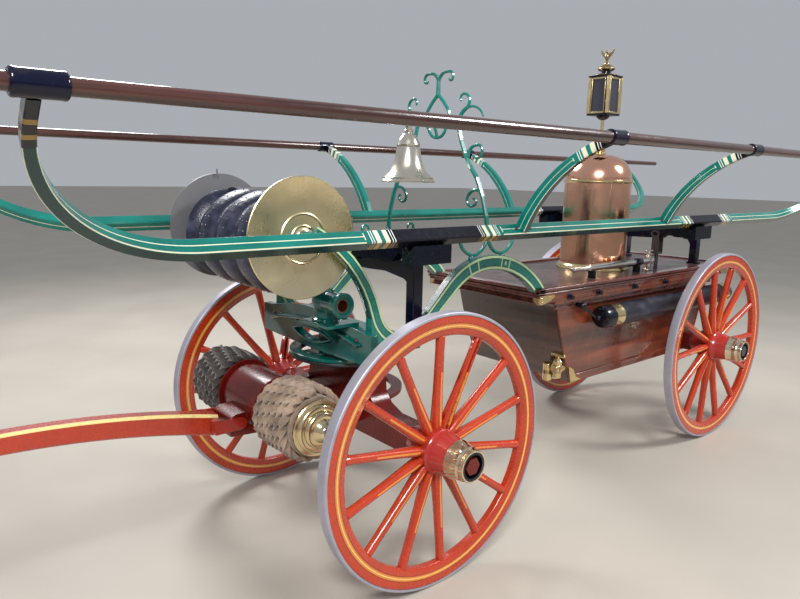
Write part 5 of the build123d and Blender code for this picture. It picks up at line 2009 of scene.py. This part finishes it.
@dataclass
class Lantern:
    """The four-sided lantern: brass cage over a black frame, dark blank panes, stepped cap and a bird."""

    side: float = 0.124

    def build(self) -> None:
        """Make the frame and finial."""
        low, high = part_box("lantern_glass")
        self.base = Vector(((low.x + high.x) / 2, 0, low.z - 0.012))
        self.height = high.z - low.z + 0.024
        self.frame()

    def frame(self) -> None:
        """Build the cage, then turn the cap and raise the bird on it."""
        half, height = self.side / 2, self.height
        piece = Piece("lantern_body", PLAIN_BLACK)
        for low, wide, tall in ((0.0, self.side + 0.008, 0.010), (height - 0.012, self.side + 0.012, 0.012)):
            piece.block(self.base + Vector((0, 0, low + tall / 2)), (wide, wide, tall))
        corners = [(a, b) for a in (1, -1) for b in (1, -1)]
        quarters = [Matrix.Rotation(math.radians(90 * k), 3, Z_AXIS) for k in range(4)]
        for a, b in corners:
            spot = self.base + Vector((a * (half - 0.008), b * (half - 0.008), height / 2))
            piece.block(spot, (0.018, 0.018, height))
        piece.use(BRASS)
        for low in (0.010, height - 0.022):
            for turn in quarters:
                edge = turn @ Vector((half + 0.0015, 0, 0))
                piece.block(
                    self.base + edge + Vector((0, 0, low + 0.005)), (0.006, self.side - 0.034, 0.010), turn,
                )
        for turn in quarters:
            for way in (1, -1):
                edge = turn @ Vector((half + 0.0015, way * (half - 0.019), 0))
                piece.block(
                    self.base + edge + Vector((0, 0, height / 2)), (0.005, 0.005, height - 0.030), turn,
                )
        for a, b in corners:
            spot = self.base + Vector((a * (half - 0.002), b * (half - 0.002), height / 2))
            piece.block(spot, (0.019, 0.019, height - 0.020), Matrix.Rotation(math.radians(45), 3, Z_AXIS))
        top = self.base + Vector((0, 0, height))
        piece.lathe(
            [(-0.001, 0), (-0.001, 0.062), (0.003, 0.066), (0.008, 0.058), (0.008, 0)], top, Z_AXIS, 48,
        )
        piece.use(PLAIN_BLACK)
        neck = [
            (0.006, 0.0), (0.006, 0.036), (0.012, 0.026), (0.024, 0.025), (0.028, 0.040), (0.034, 0.045),
            (0.038, 0.045), (0.038, 0),
        ]
        piece.lathe(neck, top, Z_AXIS, 48)
        cup = [(-0.024, 0), (-0.024, 0.012), (-0.018, 0.026), (-0.008, 0.035), (0.002, 0.036), (0.002, 0)]
        piece.lathe(cup, self.base, Z_AXIS, 40)
        piece.use(OLD_BRASS)
        dome = [
            (0.034, 0), (0.034, 0.046), (0.038, 0.049), (0.043, 0.047), (0.050, 0.040), (0.058, 0.026),
            (0.064, 0.014), (0.072, 0.011), (0.072, 0),
        ]
        piece.lathe(dome, top, Z_AXIS, 48)
        self.bird(piece, top + Vector((0, 0, 0.072)))
        piece.done("carriage", ["lantern_frame"], bevel=0.0015)

    def bird(self, piece: Piece, foot: Vector) -> None:
        """Raise the bird: legs, body, head and two wings held high.

        Args:
            piece: the piece that it is added to.
            foot: what it stands on.
        """
        piece.use(OLD_BRASS)
        piece.lathe([(0, 0), (0, 0.012), (0.006, 0.014), (0.012, 0.006), (0.016, 0)], foot, Z_AXIS, 16)
        piece.ball(foot + Vector((0, 0, 0.034)), 0.017, (0.8, 0.9, 1.25), 16)
        piece.ball(foot + Vector((0.006, 0, 0.060)), 0.0085, (1.1, 0.9, 1.0), 12)
        piece.ball(foot + Vector((0.016, 0, 0.058)), 0.004, (1.6, 0.7, 0.7), 8)
        for way in (1, -1):
            wing = [
                (0.004, 0.026), (0.020, 0.030), (0.038, 0.050), (0.044, 0.074), (0.034, 0.066),
                (0.026, 0.056), (0.014, 0.050), (0.006, 0.044),
            ]
            outline = [foot + Vector((-0.004, way * a, b)) for a, b in (wing if way > 0 else wing[::-1])]
            piece.prism(outline, Vector((0.006, 0, 0)))


@dataclass
class Chamber:
    """The copper air chamber, its brass rings and its finial."""

    crown: float = 0.144
    neck: float = 0.038

    def build(self) -> None:
        """Make the chamber and its brass."""
        self.low, self.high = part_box("air_chamber")
        self.radius = (self.high.y - self.low.y) / 2 - 0.010
        self.base = Vector(((self.low.x + self.high.x) / 2, 0, self.low.z))
        self.height = self.high.z - self.low.z
        self.copper()
        self.rings()

    def copper(self) -> None:
        """Raise the copper shell with its domed crown."""
        r, shoulder = self.radius, self.height - self.crown
        profile = [(0, 0), (0, r), (shoulder - 0.02, r)]
        for k in range(19):
            t = math.radians(90 * k / 18)
            out = self.neck + (r - self.neck) * math.cos(t) ** 0.86
            profile.append((shoulder + self.crown * math.sin(t) ** 1.05, out))
        profile.append((self.height, 0))
        piece = Piece("air_chamber_copper", COPPER_SHELL)
        piece.lathe(profile, self.base, Z_AXIS, 96)
        piece.done("carriage", ["air_chamber"], bevel=0, smooth=30)

    def rings(self) -> None:
        """Turn the base ring, the shoulder ring and the finial in brass."""
        r, shoulder = self.radius + 0.0004, self.height - self.crown
        piece = Piece("chamber_brass_turned", BRASS)
        base = [
            (0, 0), (0, 0.020), (0.005, 0.0205), (0.010, 0.019), (0.014, 0.013), (0.018, 0.013), (0.023, 0.010),
            (0.027, 0.005), (0.034, 0.003), (0.034, 0),
        ]
        ring = [(-0.016, 0), (-0.016, 0.004), (-0.010, 0.0095), (-0.004, 0.009), (0, 0.005), (0.002, 0)]
        piece.lathe(shifted(base, 0, r), self.base, Z_AXIS, 96, True)
        piece.lathe(shifted(ring, shoulder, r), self.base, Z_AXIS, 96, True)
        top = self.high.z - self.base.z
        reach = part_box("lantern_frame")[0].z - self.high.z
        finial = [
            (0, 0), (0, 0.036), (0.006, 0.036), (0.010, 0.028), (0.014, 0.022), (0.022, 0.025), (0.030, 0.027),
            (0.038, 0.023), (0.046, 0.015), (0.052, 0.012), (0.060, 0.014), (0.064, 0.0105), (reach * 0.55, 0.009),
        ]
        finial += shifted([(-0.020, 0.010), (-0.016, 0.010), (-0.016, 0)], reach)
        piece.lathe(shifted(finial, top), self.base, Z_AXIS, 48)
        piece.done("carriage", ["chamber_brass"], bevel=0)


@dataclass
class Bell:
    """The bell with its mouth rings and crown, in nickelled bronze."""

    height: float = 0.222
    flare: float = 0.005

    def build(self) -> None:
        """Turn the bell."""
        low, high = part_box("bell")
        centre = Vector(((low.x + high.x) / 2, 0, low.z))
        r, height = (high.x - low.x) / 2 + self.flare, self.height
        outside = [
            (0.000, r - 0.004), (0.002, r), (0.006, r), (0.010, r - 0.004), (0.016, r - 0.009), (0.020, r - 0.0085),
            (0.030, r - 0.022), (0.050, 0.080), (0.080, 0.066), (0.115, 0.0570), (0.150, 0.0520), (0.160, 0.0515), (0.163, 0.053),
            (0.167, 0.051), (0.178, 0.047), (0.190, 0.041), (0.204, 0.032), (0.212, 0.025), (0.214, 0.018),
            (height, 0.018), (height + 0.004, 0.021), (height + 0.008, 0.018), (height + 0.008, 0.0),
        ]
        inside = [
            (0.208, 0.0), (0.204, 0.012), (0.190, 0.030), (0.166, 0.042), (0.110, 0.048), (0.080, 0.058),
            (0.045, 0.075), (0.002, r - 0.012),
        ]
        piece = Piece("bell_bronze", BELL_METAL)
        piece.lathe(list(reversed(outside)), centre, Z_AXIS, 72)
        piece.lathe(inside + [(0.0, r - 0.004)], centre, Z_AXIS, 72)
        for y in (0.0085, -0.0085):
            piece.block((centre.x, y, centre.z + height + 0.023), (0.020, 0.006, 0.038))
        piece.rod((centre.x, -0.0115, high.z - 0.011), (centre.x, 0.0115, high.z - 0.011), 0.006)
        piece.done("bell", ["bell"], bevel=0)


@dataclass
class SuctionHoses:
    """A stiff leather hose along each side of the tub, with a black cap and brass bands."""

    setback: float = 1.305
    drop: float = 0.010
    ribs: int = 60

    def build(self) -> None:
        """Make both hoses."""
        for name in ("near", "far"):
            low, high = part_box(f"suction_hose_{name}")
            r = (high.z - low.z) / 2
            centre = Vector((low.x, (low.y + high.y) / 2, (low.z + high.z) / 2))
            centre.z -= self.drop
            length = axle_x("front") - self.setback - low.x
            piece = Piece(f"suction_hose_{name}_leather", HOSE_LEATHER)
            body = [(0.10, 0), (0.10, r - 0.003)]
            for k in range(self.ribs):
                a = 0.10 + (length - 0.24) * (k + 0.5) / self.ribs
                body += [(a - 0.006, r - 0.0045), (a, r - 0.002)]
            body += [(length - 0.14, r - 0.003), (length - 0.14, 0)]
            piece.lathe(body, centre, X_AXIS, 40)
            piece.use(BRASS)
            for a, wide in ((length - 0.145, 0.072), (0.055, 0.060)):
                edge = [(0, -0.006), (0, -0.0005), (0.004, 0), (0.010, -0.0015)]
                band = shifted(edge, a, r) + shifted([(-b, q) for b, q in reversed(edge)], a + wide, r)
                piece.lathe(band, centre, X_AXIS, 40, True)
            piece.use(PLAIN_BLACK)
            cap = [(-0.074, -0.003), (-0.030, -0.003), (-0.010, -0.008), (-0.002, -0.020), (0, -0.036)]
            cap = [(length - 0.074, 0)] + shifted(cap, length, r) + [(length, 0)]
            piece.lathe(cap, centre, X_AXIS, 40)
            tail = [
                (0, 0), (0, r - 0.030), (0.006, r - 0.014), (0.020, r - 0.006), (0.056, r - 0.004),
                (0.056, 0),
            ]
            piece.lathe(tail, centre, X_AXIS, 40)
            piece.done("carriage", [f"suction_hose_{name}"], bevel=0)


@dataclass
class PlayPipe:
    """The long nozzle pipe on the deck."""

    def build(self) -> None:
        """Turn the pipe with its rings, and set it on two saddles."""
        low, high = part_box("play_pipe")
        y = (low.y + high.y) / 2
        r = (high.y - low.y) / 2
        z = high.z - r + 0.010
        piece = Piece("play_pipe_nickel", NICKEL)
        butt = [
            (0, -0.003), (0.003, 0), (0.020, 0), (0.024, -0.004), (0.040, -0.004), (0.044, -0.001), (0.060, -0.001),
            (0.064, 0.001),
        ]
        tip = [
            (-0.160, 0.0185), (-0.150, 0.019), (-0.140, 0.019), (-0.130, 0.0125), (-0.030, 0.0115), (-0.026, 0.015),
            (-0.010, 0.015), (-0.004, 0.012), (0, 0.009), (0, 0),
        ]
        profile = [(0, 0)] + shifted(butt, 0, r) + shifted(tip, high.x - low.x)
        piece.lathe(profile, Vector((low.x, y, z)), X_AXIS, 40)
        foot = [(0, 0), (0, 0.030), (0.008, 0.030), (0.012, 0.018)]
        stem = shifted(foot, low.z) + shifted([(0.030, 0.018), (0.036, 0.010), (0.058, 0.008), (0.058, 0)], z)
        piece.lathe(stem, Vector((low.x + 0.040, y, 0)), Z_AXIS, 28)
        piece.rod((low.x + 0.002, y, z + 0.058), (low.x + 0.078, y, z + 0.058), 0.007, 16)
        piece.use(NAVY)
        collar = [
            (0.120, 0.0), (0.120, 0.0205), (0.124, 0.0225), (0.196, 0.0225), (0.200, 0.0205), (0.200, 0),
        ]
        piece.lathe(collar, Vector((low.x, y, z)), X_AXIS, 32)
        piece.use(PLAIN_BLACK)
        for x in (low.x + 0.160, high.x - 0.180):
            piece.block((x, y, (low.z + z) / 2 - 0.008), (0.026, 0.034, z - low.z - 0.012))
        piece.done("carriage", ["play_pipe"], bevel=0.0015)


@dataclass
class Tongue:
    """The bowed pole that the crew steer and pull by."""

    width: float = 0.062
    depth: float = 0.082
    tip_depth: float = 0.058
    bow: float = 0.900
    root_top: float = 0.640
    crown: float = 0.731
    taper: float = 0.9916
    steps: int = 24
    crossbar_radius: float = 0.017

    def build(self) -> None:
        """Draw the pole along its bow, then the crossbar."""
        low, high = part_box("tongue")
        edge, on_top = self.width / 2 - 0.006, ((Measure.OVER, 0.038, 0.05),)
        stripes = (Stripe(Measure.OVER, self.depth / 2 - 0.0068, 0.010, PALE_GOLD),)
        stripes += tuple(Stripe(Measure.ACROSS, place, 0.004, PALE_GOLD, on_top) for place in (edge, -edge))
        paint = Enamel("tongue_paint", (0.46, 0.034, 0.010), 0.75, 0.22, 0.6, stripes)
        piece = Piece("tongue_wood", paint)
        points = []
        for k in range(self.steps + 1):
            x = self.bow * k / self.steps
            points.append(Vector((low.x + x, 0, self.top_at(x) - self.depth * self.taper ** k / 2)))
        points.append(Vector((high.x, 0, self.crown - 0.008 - self.tip_depth / 2)))
        sweep = Sweep(piece, points[0], (points[1] - points[0]).normalized(), Y_AXIS)
        sweep.bar(self.width, self.depth, 0.008)
        for point in points[1:-1]:
            sweep.to(point, 1, (0.998, self.taper))
        sweep.to(points[-1], 6, (0.92, self.tip_depth / (self.depth * self.taper ** self.steps)))
        half, radius = high.y, self.crossbar_radius
        grip = [(-half, 0), (-half, 0.012), (-half + 0.006, radius), (-0.06, radius)]
        grip += [(-a, q) for a, q in reversed(grip)]
        piece.use(BAR_WOOD)
        piece.lathe(grip, Vector((high.x - 0.048, 0, points[-1].z)), Y_AXIS, 24)
        piece.done("tongue", ["tongue"], bevel=0.001)

    def top_at(self, x: float) -> float:
        """Return the height of the pole's top, a circle through its root, its bow and its crown.

        Args:
            x: how far ahead of the root.

        Returns:
            The height, in metres.
        """
        start = Vector((0, self.root_top, 0))
        via, end = Vector((0.420, self.crown - 0.016, 0)), Vector((self.bow, self.crown, 0))
        centre, _, _ = circle_of(start, via, end)
        radius = (start - centre).length
        return centre.y + math.sqrt(radius ** 2 - (x - centre.x) ** 2)


class Studio:
    """Floor, lights and a camera that sees what the photograph sees."""

    eye = Vector((2.4265, 2.2895, 1.5473))
    yaw = 0.6999
    pitch = 0.1861
    roll = -0.0211
    lens = 29.83
    sky = (0.80, 0.84, 0.90, 1)
    sky_strength = 0.50
    # name, place, size in metres, power in watts
    hung = (
        ("lamp_front", (4.0, 3.6, 4.6), 1.6, 305.0),
        ("lamp_rear", (-3.4, 3.5, 4.8), 1.6, 265.0),
        ("lamp_far", (0.5, -4.5, 5.0), 2.2, 265.0),
    )

    def build(self) -> None:
        """Set the camera, the floor and the lamps."""
        self.camera()
        self.floor()
        self.lamps()

    def camera(self) -> None:
        """Place the camera by its yaw, pitch and roll."""
        sin_y, cos_y = math.sin(self.yaw), math.cos(self.yaw)
        sin_p, cos_p = math.sin(self.pitch), math.cos(self.pitch)
        ahead = Vector((-sin_y * cos_p, -cos_y * cos_p, -sin_p))
        level = Vector((-cos_y, sin_y, 0))
        below = ahead.cross(level)
        right = math.cos(self.roll) * level + math.sin(self.roll) * below
        down = -math.sin(self.roll) * level + math.cos(self.roll) * below
        data = bpy.data.cameras.new("camera")
        data.lens = self.lens
        data.sensor_width = 36.0
        data.clip_end = 200.0
        camera = bpy.data.objects.new("camera", data)
        bpy.context.scene.collection.objects.link(camera)
        matrix = Matrix((right, -down, -ahead)).transposed().to_4x4()
        matrix.translation = self.eye
        camera.matrix_world = matrix
        bpy.context.scene.camera = camera

    def floor(self) -> None:
        """Lay a pale floor that runs out of sight."""
        mesh = bmesh.new()
        bmesh.ops.create_grid(mesh, x_segments=1, y_segments=1, size=60.0)
        data = bpy.data.meshes.new("floor")
        mesh.to_mesh(data)
        mesh.free()
        graph = Graph("floor_paint")
        cloud = graph.ramp(graph.noise(1.3, 5.0), 0.3, 0.7)
        graph.set(Base_Color=graph.mix(cloud, (0.50, 0.455, 0.39), (0.44, 0.40, 0.34)), Roughness=0.6)
        data.materials.append(graph.material)
        floor = bpy.data.objects.new("floor", data)
        bpy.context.scene.collection.objects.link(floor)

    def lamps(self) -> None:
        """Hang soft lamps over the room and a pale surround for the gloss."""
        world = bpy.data.worlds.new("surround")
        bpy.context.scene.world = world
        world.use_nodes = True
        sky = world.node_tree.nodes["Background"]
        sky.inputs["Color"].default_value = self.sky
        sky.inputs["Strength"].default_value = self.sky_strength
        for name, place, size, power in self.hung:
            data = bpy.data.lights.new(name, "AREA")
            data.shape = "DISK"
            data.size = size
            data.energy = power
            lamp = bpy.data.objects.new(name, data)
            bpy.context.scene.collection.objects.link(lamp)
            lamp.location = place
            lamp.rotation_euler = (Vector((0, 0, 0.8)) - Vector(place)).to_track_quat("-Z", "Y").to_euler()
        bpy.context.scene.view_settings.view_transform = "Standard"


def dress_nodes(nodes: dict[str, bpy.types.Object]) -> None:
    """Give each carried-over CAD node its finish.

    Args:
        nodes: the frame's objects by their names.
    """
    finishes: dict[str, Finish] = {
        "tub": MAHOGANY, "deck": DECK_WOOD, "air_chamber": COPPER, "chamber_brass": BRASS, "lantern_frame": BRASS,
        "lantern_glass": LANTERN_GLASS, "crane_neck": PLAIN_GREEN, "bolster": PLAIN_GREEN, "outlet": COPPER,
        "front_stand": BLUE_BLACK, "rear_stand": BLUE_BLACK, "bell_frame": PLAIN_GREEN, "rear_axle_bed": DARK_RED,
        "rear_axle_arms": IRON, "suction_hose": HOSE_LEATHER, "play_pipe": NICKEL, "truck_frame": DARK_RED,
        "truck_irons": DARK_RED, "rope_spool": BRASS, "drag_rope": ROPE, "tongue_irons": RED, "tongue": RED,
        "reel_core": IRON, "reel_disc_near": DISC_BRASS, "reel_disc_far": IRON, "reel_hose": LEATHER,
        "rocker": BLUE_BLACK, "pump_rod": IRON, "bell": BELL_METAL, "clapper": IRON, "brake_lever": PLAIN_GREEN,
        "brake_bar": BAR_WOOD,
    }
    for name, node in nodes.items():
        match = max((key for key in finishes if name.startswith(key)), key=len, default=None)
        if match is None:
            continue
        material = finishes[match].build()
        if not node.data.materials:
            node.data.materials.append(material)
        for slot in node.material_slots:
            slot.material = material


def main() -> None:
    """Build the studio and every sub-assembly in order."""
    logging.basicConfig(level=logging.INFO, format="%(message)s")
    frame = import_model()
    Studio().build()
    dress_nodes(frame["nodes"])
    for end in ("front", "rear"):
        for side_name in ("near", "far"):
            Wheel(end, side_name).build()
    for part in (
        Brakes, CraneNecks, HoseReel, RopeReel, Tub, Bolster, Truck, Stands, BellFrame, Lantern, Chamber, Bell,
        SuctionHoses, PlayPipe, Tongue,
    ):
        part().build()


if __name__ == "__main__":
    main()
